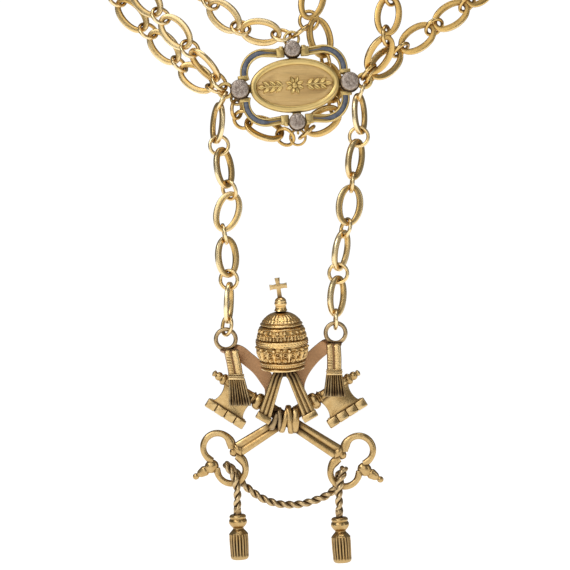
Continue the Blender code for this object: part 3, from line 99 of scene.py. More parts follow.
class Flow:
    """A number in a shader tree that Python's operators join with others."""

    def __init__(self, tree: NodeTree, socket: NodeSocket) -> None:
        """Wrap one output socket of a tree."""
        self.tree = tree
        self.socket = socket

    def _join(self, operation: str, first: object, second: object = None) -> Flow:
        """Add a Math node.

        Args:
            operation: The Math node's operation.
            first: Its first value, a Flow or a number.
            second: Its second value, if it has one.

        Returns:
            The node's result.
        """
        node = self.tree.nodes.new("ShaderNodeMath")
        node.operation = operation
        for place, value in enumerate((first, second)):
            if value is None:
                continue
            if isinstance(value, Flow):
                self.tree.links.new(value.socket, node.inputs[place])
            else:
                node.inputs[place].default_value = value
        return Flow(self.tree, node.outputs[0])

    def __add__(self, other: object) -> Flow:
        """Return the sum."""
        return self._join("ADD", self, other)

    def __radd__(self, other: object) -> Flow:
        """Return the sum, the other value first."""
        return self._join("ADD", other, self)

    def __sub__(self, other: object) -> Flow:
        """Return the difference."""
        return self._join("SUBTRACT", self, other)

    def __rsub__(self, other: object) -> Flow:
        """Return the difference, the other value first."""
        return self._join("SUBTRACT", other, self)

    def __mul__(self, other: object) -> Flow:
        """Return the product."""
        return self._join("MULTIPLY", self, other)

    def __rmul__(self, other: object) -> Flow:
        """Return the product, the other value first."""
        return self._join("MULTIPLY", other, self)

    def __pow__(self, other: object) -> Flow:
        """Return the power."""
        return self._join("POWER", self, other)

    def limited(self) -> Flow:
        """Return the value kept between 0 and 1."""
        return self._join("MINIMUM", self._join("MAXIMUM", self, 0.0), 1.0)

    def sine(self) -> Flow:
        """Return the sine of the value."""
        return self._join("SINE", self)


class ShaderTree:
    """A material's node tree with its Principled shader."""

    def __init__(self, name: str) -> None:
        """Make a material of a name.

        Args:
            name: The material's name.
        """
        self.material = bpy.data.materials.new(name)
        self.material.use_nodes = True
        self.tree = self.material.node_tree
        self.shader = self.tree.nodes["Principled BSDF"]

    def node(self, kind: str, settings: dict[str, object] | None = None,
             inputs: dict[object, object] | None = None) -> Node:
        """Add any node that is not a Math node.

        Args:
            kind: The node's type.
            settings: Its settings, set first; a ramp's stops are given as pairs.
            inputs: A value, a socket or a Flow for each named or numbered socket.

        Returns:
            The node.
        """
        node = self.tree.nodes.new(kind)
        for key, value in (settings or {}).items():
            if key == "stops":
                for index, (place, colour) in enumerate(value):
                    stops = node.color_ramp.elements
                    stop = stops[index] if index < 2 else stops.new(place)
                    stop.position = place
                    stop.color = colour
            else:
                setattr(node, key, value)
        for key, value in (inputs or {}).items():
            self.give(node.inputs[key], value)
        return node

    def give(self, socket: NodeSocket, value: object) -> None:
        """Give a socket its value or its link.

        Args:
            socket: The socket of a node.
            value: A number, a colour, a socket or a Flow.
        """
        source = value.socket if isinstance(value, Flow) else value
        if isinstance(source, NodeSocket):
            self.tree.links.new(source, socket)
        else:
            socket.default_value = source

    def attribute(self, name: str) -> Flow:
        """Return a mesh attribute as a number."""
        node = self.node("ShaderNodeAttribute", {"attribute_name": name})
        return Flow(self.tree, node.outputs["Fac"])

    def place(self, stretch: tuple[float, float, float] = (1.0, 1.0, 1.0)) -> NodeSocket:
        """Return Object coordinates, stretched along the axes.

        Args:
            stretch: A stretch along each axis.

        Returns:
            The coordinates.
        """
        coordinates = self.node("ShaderNodeTexCoord")
        mapping = self.node("ShaderNodeMapping", None,
                            {"Vector": coordinates.outputs["Object"], "Scale": stretch})
        return mapping.outputs[0]

    def noise(self, size: float, detail: float = 3.0,
              stretch: tuple[float, float, float] = (1.0, 1.0, 1.0)) -> Flow:
        """Return a noise pattern.

        Args:
            size: The size of a patch in metres.
            detail: How many finer layers it has.
            stretch: A stretch of the coordinates along each axis.

        Returns:
            The noise, from 0 to 1.
        """
        node = self.node("ShaderNodeTexNoise", None,
                         {"Vector": self.place(stretch), "Scale": 1.0 / size, "Detail": detail,
                          "Roughness": 0.6})
        return Flow(self.tree, node.outputs[0])

    def blend(self, factor: Flow, first: object, second: object) -> NodeSocket:
        """Return a mix of two colours by a factor."""
        node = self.node("ShaderNodeMix", {"data_type": "RGBA"}, {0: factor, 6: first, 7: second})
        return node.outputs[2]

    def feed(self, name: str, value: object) -> None:
        """Give a named socket of the shader its value or its link."""
        self.give(self.shader.inputs[name], value)

    def bump(self, height: Flow, depth: float) -> None:
        """Give the surface a fine relief of a depth in metres."""
        node = self.node("ShaderNodeBump", None, {"Height": height, "Distance": depth, "Strength": 1.0})
        self.feed("Normal", node.outputs[0])


def paint(red: float, green: float, blue: float) -> tuple[float, float, float, float]:
    """Return a colour with full alpha."""
    return (red, green, blue, 1.0)


@dataclass(frozen=True)
class MetalFinish:
    """Worn gilt metal: pale where it is rubbed, dark with tarnish and painted shade in its hollows."""

    name: str
    pale: tuple[float, float, float, float]
    body: tuple[float, float, float, float]
    deep: tuple[float, float, float, float]
    smooth: float = 0.24
    rough: float = 0.5
    mottle_size: float = 3.0 * MM
    mottle: float = 0.5
    grain_size: float = 0.35 * MM
    grain_depth: float = 0.02 * MM
    hollow_tarnish_and_shade_gain: float = 1.4
    stretch: tuple[float, float, float] = (1.0, 1.0, 1.0)

    def make(self) -> Material:
        """Return the material.

        Returns:
            The material.
        """
        tree = ShaderTree(self.name)
        # The attributes give tarnish and painted shade in hollows, rubbed edges, a random tone that carries
        # painted side light on the chains, and more darkening by tarnish and painted shade.
        hollow = tree.attribute("hollow")
        edge = tree.attribute("edge")
        tone = tree.attribute("tone")
        tarnish_and_shade = tree.attribute("tarnish_and_shade")
        mottle = tree.noise(self.mottle_size, 4.0, self.stretch)
        grain = tree.noise(self.grain_size, 3.0, self.stretch)
        worn = (edge * 1.6 + (mottle - 0.5) * 1.2 * self.mottle + tone + 0.15 - hollow * 0.8).limited()
        shade = hollow * self.hollow_tarnish_and_shade_gain + (mottle - 0.5) * self.mottle + tarnish_and_shade
        dark = (shade - edge * 0.5 - tone * 0.5 - 0.12).limited()
        rubbed = tree.blend(worn, self.body, self.pale)
        coloured = tree.blend(dark, rubbed, self.deep)
        tree.feed("Base Color", coloured)
        tree.feed("Metallic", 1.0)
        tree.feed("Roughness",
                  (self.smooth + dark * (self.rough - self.smooth) + (grain - 0.5) * 0.16).limited())
        tree.bump(grain + mottle * 0.6, self.grain_depth)
        return tree.material


@dataclass(frozen=True)
class EnamelFinish:
    """Glossy enamel, a little cloudy and worn at its edge."""

    name: str
    light: tuple[float, float, float, float]
    dark: tuple[float, float, float, float]

    def make(self) -> Material:
        """Return the material.

        Returns:
            The material.
        """
        tree = ShaderTree(self.name)
        cloud = tree.noise(1.6 * MM, 4.0)
        speck = tree.noise(0.4 * MM, 2.0)
        tree.feed("Base Color",
                  tree.blend(((cloud - 0.35) * 2.4 + (speck - 0.5) * 0.5).limited(), self.dark, self.light))
        tree.feed("Roughness", (0.2 + speck * 0.25).limited())
        tree.feed("Coat Roughness", 0.08)
        tree.feed("Coat Weight", 0.35)
        tree.bump(cloud, 0.05 * MM)
        return tree.material


@dataclass(frozen=True)
class PlainFinish:
    """An even matt finish for the studio."""

    name: str
    colour: tuple[float, float, float, float]
    glow: float

    def make(self) -> Material:
        """Return the material.

        Returns:
            The material.
        """
        tree = ShaderTree(self.name)
        tree.feed("Base Color", self.colour)
        tree.feed("Roughness", 0.9)
        tree.feed("Emission Color", self.colour)
        tree.feed("Emission Strength", self.glow)
        return tree.material


class Gilt(Enum):
    """The finishes of this object, each under the part that wears it."""

    LINKS = MetalFinish("satin_link_gilt", paint(0.96, 0.80, 0.49), paint(0.68, 0.44, 0.145),
                        paint(0.18, 0.095, 0.03),
                        smooth=0.27, rough=0.5, mottle_size=5.0 * MM, mottle=0.7, grain_depth=0.012 * MM)
    FRAME = MetalFinish("matt_frame_gilt", paint(0.80, 0.63, 0.30), paint(0.61, 0.43, 0.15),
                        paint(0.18, 0.105, 0.04), smooth=0.38, rough=0.58, mottle=0.7)
    CAST = MetalFinish("antique_cast_gilt", paint(0.98, 0.79, 0.46), paint(0.70, 0.45, 0.17),
                       paint(0.085, 0.045, 0.02),
                       smooth=0.25, rough=0.5, mottle_size=2.2 * MM, mottle=0.75, grain_size=0.5 * MM,
                       grain_depth=0.05 * MM, hollow_tarnish_and_shade_gain=1.7)
    KEYS = MetalFinish("worn_key_gilt", paint(0.76, 0.58, 0.30), paint(0.42, 0.26, 0.095),
                       paint(0.065, 0.036, 0.018),
                       smooth=0.25, rough=0.52, mottle_size=2.8 * MM, mottle=0.95, grain_size=0.6 * MM,
                       grain_depth=0.035 * MM, hollow_tarnish_and_shade_gain=2.1)
    TARNISHED = MetalFinish("tarnished_brass", paint(0.80, 0.62, 0.35), paint(0.36, 0.235, 0.11),
                            paint(0.055, 0.034, 0.02),
                            smooth=0.3, rough=0.5, mottle=0.8, grain_depth=0.03 * MM, hollow_tarnish_and_shade_gain=2.4)
    STRAP = MetalFinish("coppery_strap_gilt", paint(0.54, 0.315, 0.16), paint(0.33, 0.175, 0.085),
                        paint(0.10, 0.05, 0.027),
                        smooth=0.34, rough=0.5, mottle_size=4.0 * MM, mottle=0.5, grain_depth=0.01 * MM)
    GROUND = MetalFinish("brushed_plaque_ground", paint(0.84, 0.62, 0.29), paint(0.58, 0.385, 0.16),
                         paint(0.26, 0.145, 0.05),
                         smooth=0.36, rough=0.55, mottle_size=0.6 * MM, mottle=2.4, grain_size=0.32 * MM,
                         grain_depth=0.09 * MM, stretch=(0.07, 1.0, 1.0))
    SILVER = MetalFinish("rough_silver", paint(0.72, 0.64, 0.55), paint(0.26, 0.20, 0.165),
                         paint(0.03, 0.022, 0.018),
                         smooth=0.32, rough=0.6, mottle_size=0.9 * MM, mottle=1.3, grain_size=0.3 * MM,
                         grain_depth=0.12 * MM, hollow_tarnish_and_shade_gain=1.5)
    ENAMEL = EnamelFinish("blue_grey_enamel", paint(0.135, 0.155, 0.20), paint(0.045, 0.055, 0.085))
    PAPER = PlainFinish("white_paper", paint(1.0, 1.0, 1.0), 0.72)


class Palette:
    """Makes each finish once and hands out its material."""

    def __init__(self) -> None:
        """Start with no materials made."""
        self.made: dict[str, Material] = {}

    def __getitem__(self, finish: Gilt) -> Material:
        """Return the material of a finish.

        Args:
            finish: One of the finishes.

        Returns:
            Its material.
        """
        if finish.name not in self.made:
            self.made[finish.name] = finish.value.make()
        return self.made[finish.name]


# Geometry Nodes


class GeometryTree:
    """Geometry Nodes with named inputs, run on a carrier whose result is kept as a plain mesh."""

    def __init__(self, name: str, inputs: dict[str, str]) -> None:
        """Make the tree with its inputs and its one output.

        Args:
            name: The tree's name.
            inputs: The kind of each input under its name, the geometry first.
        """
        self.group = bpy.data.node_groups.new(name, "GeometryNodeTree")
        face = self.group.interface
        self.sockets = {
            label: face.new_socket(label, in_out="INPUT", socket_type="NodeSocket" + kind).identifier
            for label, kind in inputs.items()
        }
        face.new_socket("Result", in_out="OUTPUT", socket_type="NodeSocketGeometry")
        self.given = self.add("NodeGroupInput", {}).outputs

    def add(self, kind: str, inputs: dict[object, object],
            settings: dict[str, object] | None = None) -> Node:
        """Add a node.

        Args:
            kind: The node's type.
            inputs: A value or a socket for each of its inputs.
            settings: Its settings, set first.

        Returns:
            The node.
        """
        node = self.group.nodes.new(kind)
        for key, value in (settings or {}).items():
            setattr(node, key, value)
        for key, value in inputs.items():
            if isinstance(value, NodeSocket):
                self.group.links.new(value, node.inputs[key])
            else:
                node.inputs[key].default_value = value
        return node

    def close(self, result: NodeSocket) -> None:
        """End the tree with real geometry in the given finish.

        Args:
            result: The geometry before it is made real.
        """
        real = self.add("GeometryNodeRealizeInstances", {0: result})
        dressed = self.add("GeometryNodeSetMaterial",
                           {"Geometry": real.outputs[0], "Material": self.given["Finish"]})
        self.add("NodeGroupOutput", {0: dressed.outputs[0]})

    def evaluate(self, data: ID, values: dict[str, object]) -> Mesh:
        """Run the tree.

        Args:
            data: The mesh or curve that it runs on.
            values: A value for each named input besides the geometry.

        Returns:
            One plain mesh.
        """
        carrier = bpy.data.objects.new("carrier", data)
        bpy.context.scene.collection.objects.link(carrier)
        modifier = carrier.modifiers.new(self.group.name, "NODES")
        modifier.node_group = self.group
        for label, value in values.items():
            modifier[self.sockets[label]] = value
        graph = bpy.context.evaluated_depsgraph_get()
        mesh = bpy.data.meshes.new_from_object(carrier.evaluated_get(graph))
        carrier.modifiers.remove(modifier)
        bpy.data.objects.remove(carrier, do_unlink=True)
        return mesh


class RepeatTree(GeometryTree):
    """Sets a motif on every point, turned and sized by the points' attributes."""

    def __init__(self) -> None:
        """Build the tree with its named inputs."""
        super().__init__("repeat_on_points", {"Points": "Geometry", "Motif": "Object", "Finish": "Material",
                                              "Size": "Float"})
        vector = {"data_type": "FLOAT_VECTOR"}
        motif = self.add("GeometryNodeObjectInfo", {"Object": self.given["Motif"]})
        turn = self.add("GeometryNodeInputNamedAttribute", {"Name": "turn"}, vector)
        stretch = self.add("GeometryNodeInputNamedAttribute", {"Name": "stretch"}, vector)
        sized = self.add("ShaderNodeVectorMath",
                         {0: stretch.outputs["Attribute"], "Scale": self.given["Size"]},
                         {"operation": "SCALE"})
        self.close(self.add("GeometryNodeInstanceOnPoints", {
            "Points": self.given["Points"],
            "Instance": motif.outputs["Geometry"],
            "Rotation": turn.outputs["Attribute"],
            "Scale": sized.outputs[0],
        }).outputs[0])

    def run(self, motif: Mesh, places: list[Matrix], finish: Material,
            tones: list[float] | None = None, size: float = 1.0) -> Mesh:
        """Set a motif at each place.

        Args:
            motif: The repeated mesh.
            places: A matrix for each copy, without shear.
            finish: The material of the copies.
            tones: A paler or darker tone for each copy.
            size: A scale of all the copies.

        Returns:
            One plain mesh.
        """
        pattern = bpy.data.objects.new("motif", motif)
        bpy.context.scene.collection.objects.link(pattern)
        cloud = bpy.data.meshes.new("places")
        cloud.from_pydata([place.translation for place in places], [], [])
        for name, rows in (("turn", [place.to_euler() for place in places]),
                           ("stretch", [place.to_scale() for place in places])):
            layer = cloud.attributes.new(name, "FLOAT_VECTOR", "POINT")
            layer.data.foreach_set("vector", [value for row in rows for value in row])
        write_layer(cloud, "tone", tones or [0.0] * len(places))
        mesh = self.evaluate(cloud, {"Motif": pattern, "Finish": finish, "Size": size})
        bpy.data.objects.remove(pattern, do_unlink=True)
        for name in ("turn", "stretch"):
            if name in mesh.attributes:
                mesh.attributes.remove(mesh.attributes[name])
        return mesh


class SweepTree(GeometryTree):
    """Runs a round wire along a path."""

    def __init__(self) -> None:
        """Build the tree with its named inputs."""
        super().__init__("wire_along_path", {"Path": "Geometry", "Radius": "Float", "Sides": "Int",
                                             "Finish": "Material"})
        profile = self.add("GeometryNodeCurvePrimitiveCircle",
                           {"Radius": self.given["Radius"], "Resolution": self.given["Sides"]})
        wire = self.add("GeometryNodeCurveToMesh", {"Curve": self.given["Path"], "Fill Caps": True,
                                                    "Profile Curve": profile.outputs["Curve"]})
        self.close(wire.outputs[0])

    def run(self, paths: list[list[Vector]], radius: float, sides: int, finish: Material) -> Mesh:
        """Run a wire along each path.

        Args:
            paths: The points of each path.
            radius: The wire's radius.
            sides: How many sides its section has.
            finish: The wire's material.

        Returns:
            One plain mesh.
        """
        curve = bpy.data.curves.new("path", "CURVE")
        curve.dimensions = "3D"
        for points in paths:
            spline = curve.splines.new("POLY")
            spline.points.add(len(points) - 1)
            spline.points.foreach_set("co", [value for point in points for value in (*point, 1.0)])
        return self.evaluate(curve, {"Radius": radius, "Sides": sides, "Finish": finish})


# Shells


def stack_rings(rings: list[list[Vector]], closed: bool = False) -> Shell:
    """Join rings of equal size into a shell, with flat ends unless it closes on itself.

    Args:
        rings: Rings of points, all of one size.
        closed: Whether the last joins the first.

    Returns:
        The shell.
    """
    size = len(rings[0])
    count = len(rings)
    vertices = [Vector(point) for ring in rings for point in ring]
    faces: list[tuple[int, ...]] = []
    for row in range(count if closed else count - 1):
        low = row * size
        high = (row + 1) % count * size
        for step in range(size):
            after = (step + 1) % size
            faces.append((low + step, low + after, high + after, high + step))
    if not closed:
        faces.append(tuple(range(size)))
        faces.append(tuple(range((count - 1) * size, count * size)))
    return vertices, faces


def moved(shell: Shell, matrix: Matrix) -> Shell:
    """Return a copy of a shell placed by a matrix."""
    vertices, faces = shell
    return [matrix @ point for point in vertices], faces


def eased(points: list[tuple[float, ...]], parts: int) -> list[tuple[float, ...]]:
    """Return more points on a smooth curve through the given ones.

    Args:
        points: Points of any number of values.
        parts: How many steps there are between two of them.

    Returns:
        The finer points.
    """
    knots = [np.array(point, dtype=float) for point in points]
    fine = []
    for index in range(len(knots) - 1):
        before = knots[max(index - 1, 0)]
        start = knots[index]
        end = knots[index + 1]
        after = knots[min(index + 2, len(knots) - 1)]
        for part in range(parts):
            t = part / parts
            pull = 2.0 * start + (end - before) * t + (2.0 * before - 5.0 * start + 4.0 * end
                                                       - after) * t ** 2
            pull += (3.0 * start - before - 3.0 * end + after) * t ** 3
            fine.append(tuple(pull * 0.5))
    fine.append(tuple(knots[-1]))
    return fine


def even_route(points: list[Vector], step: float) -> list[Vector]:
    """Return points an even step apart on a smooth curve through the given points.

    Args:
        points: A few points of the route.
        step: The distance between two new ones.

    Returns:
        The new points.
    """
    fine = [Vector(point) for point in eased([tuple(point) for point in points], 16)]
    run = [0.0]
    for index in range(len(fine) - 1):
        run.append(run[-1] + (fine[index + 1] - fine[index]).length)
    count = max(2, round(run[-1] / step))
    even = []
    place = 0
    for number in range(count + 1):
        goal = run[-1] * number / count
        while place < len(run) - 2 and run[place + 1] < goal:
            place += 1
        share = (goal - run[place]) / max(run[place + 1] - run[place], 1e-12)
        even.append(fine[place].lerp(fine[place + 1], min(1.0, share)))
    return even


def rounded_section(width: float, depth: float, sides: int, square: float) -> list[tuple[float, float]]:
    """Return a closed section between an ellipse and a rectangle.

    Args:
        width: Its full width.
        depth: Its full depth.
        sides: How many points it has.
        square: From 2, an ellipse, up to about 6, nearly a rectangle.

    Returns:
        Pairs of across and depth.
    """
    section = []
    for step in range(sides):
        turn = math.tau * (step + 0.5) / sides
        cosine = math.cos(turn)
        sine = math.sin(turn)
        section.append((
            width / 2.0 * math.copysign(abs(cosine) ** (2.0 / square), cosine),
            depth / 2.0 * math.copysign(abs(sine) ** (2.0 / square), sine),
        ))
    return section


def heading(points: list[Vector], index: int) -> Vector:
    """Return the direction of a line of points at one of them."""
    return (points[min(index + 1, len(points) - 1)] - points[max(index - 1, 0)]).normalized()


def loop_shell(half_width: float, half_height: float, section: list[tuple[float, float]],
               steps: int) -> Shell:
    """Return a closed band in the XZ plane along an ellipse, its section given as across and depth.

    Args:
        half_width: Half the ellipse's width.
        half_height: Half its height.
        section: The band's section.
        steps: How many sections there are.

    Returns:
        The shell.
    """
    rings = []
    for step in range(steps):
        turn = math.tau * step / steps
        middle = Vector((half_width * math.sin(turn), 0.0, half_height * math.cos(turn)))
        outward = Vector((half_height * math.sin(turn), 0.0, half_width * math.cos(turn))).normalized()
        rings.append([middle + outward * across + Y_AXIS * depth for across, depth in section])
    return stack_rings(rings, closed=True)


def path_shell(path: list[Vector], section: list[tuple[float, float]],
               scales: list[float] | None = None) -> Shell:
    """Sweep a section of across and depth along a path in the XZ plane.

    Args:
        path: The band's middle line.
        section: The band's section.
        scales: How wide the section is at each point.

    Returns:
        The shell.
    """
    rings = []
    for index, point in enumerate(path):
        across = heading(path, index).cross(Y_AXIS)
        scale = scales[index] if scales else 1.0
        rings.append([point + across * (reach * scale) + Y_AXIS * depth for reach, depth in section])
    return stack_rings(rings)


def spun(profile: list[tuple[float, float]], sides: int, flatness: float = 1.0, parts: int = 4) -> Shell:
    """Turn a profile of radius and height about Z, eased between its points, flattened in Y.

    Args:
        profile: Pairs of radius and height.
        sides: How many sides it has.
        flatness: Its depth as a share of its width.
        parts: The steps between two pairs.

    Returns:
        The shell.
    """
    rings = []
    for radius, height in eased(profile, parts):
        radius = max(radius, TIP)
        ring = []
        for step in range(sides):
            turn = math.tau * step / sides
            ring.append(Vector((radius * math.cos(turn), radius * flatness * math.sin(turn), height)))
        rings.append(ring)
    return stack_rings(rings)


def soft_block(centre: tuple[float, float, float], size: tuple[float, float, float], edge: float) -> Shell:
    """Return a box with its edges worn round.

    Args:
        centre: The box's middle.
        size: Its full sizes.
        edge: The radius of its edges.

    Returns:
        The shell.
    """
    half = Vector(size) / 2.0
    rings = []
    for depth, inset in ((-half.y, edge), (-half.y + edge * 0.35, edge * 0.35), (-half.y + edge, 0.0),
                         (half.y - edge, 0.0), (half.y - edge * 0.35, edge * 0.35), (half.y, edge)):
        ring = []
        for corner_x, corner_z, start in ((1, 1, 0), (-1, 1, 90), (-1, -1, 180), (1, -1, 270)):
            for turn in (0, 45, 90):
                angle = math.radians(start + turn)
                radius = edge - inset * 0.5
                x = corner_x * (half.x - edge - inset * 0.5) + radius * math.cos(angle)
                z = corner_z * (half.z - edge - inset * 0.5) + radius * math.sin(angle)
                ring.append(Vector((x, depth, z)))
        rings.append(ring)
    return moved(stack_rings(rings), Matrix.Translation(centre))


def plate_shell(outline: list[tuple[float, float]], thickness: float, edge: float) -> Shell:
    """Return a plate with worn edges, from an outline in X and Z that turns one way round.

    Args:
        outline: Pairs of X and Z.
        thickness: The plate's thickness.
        edge: How far its edges are worn.

    Returns:
        The shell.
    """
    points = [Vector((x, 0.0, z)) for x, z in outline]
    middle = sum(points, Vector()) / len(points)
    inward = []
    for index, point in enumerate(points):
        ahead = points[(index + 1) % len(points)]
        behind = points[index - 1]
        side = (ahead - behind).cross(Y_AXIS).normalized()
        if side.dot(middle - point) < 0.0 and abs(side.dot(middle - point)) > 1e-5:
            side = -side
        inward.append(side)
    half = thickness / 2.0
    rings = []
    for depth, inset in ((-half, edge), (-half + edge * 0.3, edge * 0.3), (-half + edge, 0.0),
                         (half - edge, 0.0), (half - edge * 0.3, edge * 0.3), (half, edge)):
        rings.append([point + side * inset + Y_AXIS * depth for point, side in zip(points, inward)])
    return stack_rings(rings)


def mesh_of(name: str, shells: list[Shell]) -> Mesh:
    """Return one mesh holding the shells, each with its faces turned out.

    Args:
        name: The mesh's name.
        shells: The shells.

    Returns:
        The mesh.
    """
    mesh = bpy.data.meshes.new(name)
    work = bmesh.new()
    for vertices, faces in shells:
        corners = [work.verts.new(point) for point in vertices]
        for face in faces:
            work.faces.new([corners[index] for index in face])
    bmesh.ops.recalc_face_normals(work, faces=work.faces)
    work.to_mesh(mesh)
    work.free()
    return mesh


def joined(name: str, meshes: list[Mesh]) -> Mesh:
    """Return one mesh made of several, with their materials and their tones kept.

    Args:
        name: The new mesh's name.
        meshes: The meshes to join.

    Returns:
        The mesh.
    """
    finishes: list[Material] = []
    whole = bpy.data.meshes.new(name)
    work = bmesh.new()
    for mesh in meshes:
        lookup = []
        for finish in mesh.materials:
            if finish not in finishes:
                finishes.append(finish)
            lookup.append(finishes.index(finish))
        first = len(work.faces)
        work.from_mesh(mesh)
        work.faces.ensure_lookup_table()
        for face in work.faces[first:]:
            face.material_index = lookup[face.material_index] if lookup else 0
    work.to_mesh(whole)
    work.free()
    for finish in finishes:
        whole.materials.append(finish)
    return whole


def finished(mesh: Mesh, finish: Material) -> Mesh:
    """Give a mesh its one material and return it.

    Args:
        mesh: The mesh.
        finish: Its material.

    Returns:
        The mesh.
    """
    mesh.materials.clear()
    mesh.materials.append(finish)
    return mesh


def write_layer(mesh: Mesh, name: str, values: Sequence[float]) -> None:
    """Write a number for each vertex as an attribute, over any of the same name.

    Args:
        mesh: The mesh.
        name: The attribute's name.
        values: A number for each vertex.
    """
    if name in mesh.attributes:
        mesh.attributes.remove(mesh.attributes[name])
    mesh.attributes.new(name, "FLOAT", "POINT").data.foreach_set("value", values)


def with_tarnish_and_shade(mesh: Mesh, amount: Callable[[Vector], float]) -> Mesh:
    """Write how much tarnish and painted shade darkens each vertex, from its place, and return the mesh.

    Args:
        mesh: The mesh.
        amount: Gives the darkening by tarnish and painted shade at a place.

    Returns:
        The mesh.
    """
    write_layer(mesh, "tarnish_and_shade", [amount(vertex.co) for vertex in mesh.vertices])
    return mesh


# Fixed directions over a half sphere, for the search for hollows that get tarnish and painted shade
LOOKS = [
    (math.sin(lean) * math.cos(turn), math.sin(lean) * math.sin(turn), math.cos(lean))
    for lean, turns, offset in ((0.35, 3, 0.2), (0.85, 5, 0.9), (1.25, 5, 0.1))
    for turn in [offset + math.tau * step / turns for step in range(turns)]
]


def vertex_vectors(mesh: Mesh, name: str) -> np.ndarray:
    """Return a vector property of the vertices, a row for each.

    Args:
        mesh: The mesh.
        name: The property's name.

    Returns:
        The rows.
    """
    values = np.empty(len(mesh.vertices) * 3)
    mesh.vertices.foreach_get(name, values)
    return values.reshape(-1, 3)


def pooled(values: np.ndarray, first: np.ndarray, second: np.ndarray, number: np.ndarray) -> np.ndarray:
    """Return the mean of each vertex and its neighbours.

    Args:
        values: A value for each vertex.
        first: The vertex where each edge starts.
        second: The vertex where each edge ends.
        number: How many edges meet at each vertex.

    Returns:
        The means.
    """
    total = values.copy()
    np.add.at(total, first, values[second])
    np.add.at(total, second, values[first])
    return total / (number + 1.0)


def note_tarnish_and_shade(pieces: list[Object], reach: float) -> None:
    """Write how much tarnish and painted shade each vertex gets from the neighbours that hide it, and how
    far it stands out on an edge.

    Args:
        pieces: The objects that shade each other.
        reach: How far away a neighbour still shades a vertex.
    """
    work = bmesh.new()
    for piece in pieces:
        work.from_mesh(piece.data)
    tree = BVHTree.FromBMesh(work)
    work.free()
    for piece in pieces:
        mesh = piece.data
        count = len(mesh.vertices)
        spots = vertex_vectors(mesh, "co")
        normals = vertex_vectors(mesh, "normal")
        ends = np.empty(len(mesh.edges) * 2, dtype=np.int64)
        mesh.edges.foreach_get("vertices", ends)
        first, second = ends[0::2], ends[1::2]
        along = spots[second] - spots[first]
        along /= np.maximum(np.linalg.norm(along, axis=1, keepdims=True), 1e-9)
        fall = np.zeros(count)
        number = np.zeros(count)
        np.add.at(fall, first, -(along * normals[first]).sum(axis=1))
        np.add.at(fall, second, (along * normals[second]).sum(axis=1))
        np.add.at(number, first, 1.0)
        np.add.at(number, second, 1.0)
        fall /= np.maximum(number, 1.0)
        for _ in range(2):
            fall = pooled(fall, first, second, number)
        # The share of each vertex's view that its neighbours block becomes tarnish and painted shade.
        hollow = np.zeros(count)
        looks = LOOKS
        for index in range(count):
            normal = Vector(normals[index])
            side = normal.orthogonal().normalized()
            other = normal.cross(side)
            start = Vector(spots[index]) + normal * (reach * 0.02)
            hidden = 0.0
            for a, b, c in looks:
                distance = tree.ray_cast(start, side * a + other * b + normal * c, reach)[3]
                if distance is not None:
                    hidden += 1.0 - distance / reach
            hollow[index] = hidden / len(looks)
        write_layer(mesh, "hollow", pooled(hollow, first, second, number).astype(np.float32))
        write_layer(mesh, "edge", np.clip(fall, 0.0, 1.0).astype(np.float32))


def add_piece(name: str, mesh: Mesh, body: str, replaced: list[str]) -> Object:
    """Add a finished piece to the object.

    Args:
        name: The piece's name.
        mesh: Its mesh, already in its place.
        body: The body that it rides on.
        replaced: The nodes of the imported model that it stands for.

    Returns:
        The new object.
    """
    mesh.shade_smooth()
    mesh.set_sharp_from_angle(angle=SHARP_EDGE)
    piece = bpy.data.objects.new(name, mesh)
    bpy.context.scene.collection.objects.link(piece)
    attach(piece, body)
    if replaced:
        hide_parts(*replaced)
    LOG.info("%s: %d faces", name, len(mesh.polygons))
    return piece


# Chains


@dataclass(frozen=True)
class LinkSize:
    """The size of one link."""

    length: float
    width: float
    band: float
    thickness: float
    square: float
    steps: int
    sides: int

    def clear(self) -> float:
        """Return the clear length inside the link."""
        return self.length - 2.0 * self.band


class LinkKind(Enum):
    """The links of these chains."""

    OVAL = LinkSize(15.0 * MM, 9.6 * MM, 2.1 * MM, 1.5 * MM, 4.5, 44, 12)
    RING = LinkSize(7.74 * MM, 7.74 * MM, 1.27 * MM, 1.27 * MM, 2.2, 30, 10)
    THIN = LinkSize(6.3 * MM, 6.3 * MM, 0.95 * MM, 0.95 * MM, 2.0, 26, 8)


OVAL, RING, THIN = LinkKind.OVAL, LinkKind.RING, LinkKind.THIN


def settle(points: list[Vector], lengths: list[float], rounds: int = 3000) -> list[Vector]:
    """Draw the contact points together until each neighbour is one link away, ends held.

    Args:
        points: The contact points.
        lengths: The clear length of each link.
        rounds: How often the points are drawn together.

    Returns:
        The settled points.
    """
    points = [Vector(point) for point in points]
    last = len(points) - 1
    for _ in range(rounds):
        for index, length in enumerate(lengths):
            offset = points[index + 1] - points[index]
            excess = offset * (1.0 - length / offset.length)
            share = 1.0 if index == 0 or index + 1 == last else 0.5
            if index > 0:
                points[index] += excess * share
            if index + 1 < last:
                points[index + 1] -= excess * share
    return points


def link_place(start: Vector, end: Vector, turn: float) -> Matrix:
    """Return the placing of a link between two contact points, turned about its length.

    Args:
        start: Where the link bears at one end.
        end: Where it bears at the other.
        turn: Its turn in degrees.

    Returns:
        The placing.
    """
    along = (end - start).normalized()
    facing = (Y_AXIS - along * Y_AXIS.dot(along)).normalized()
    facing = Matrix.Rotation(math.radians(turn), 3, along) @ facing
    across = facing.cross(along)
    return Matrix.Translation((start + end) / 2.0) @ Matrix((across, facing, along)).transposed().to_4x4()


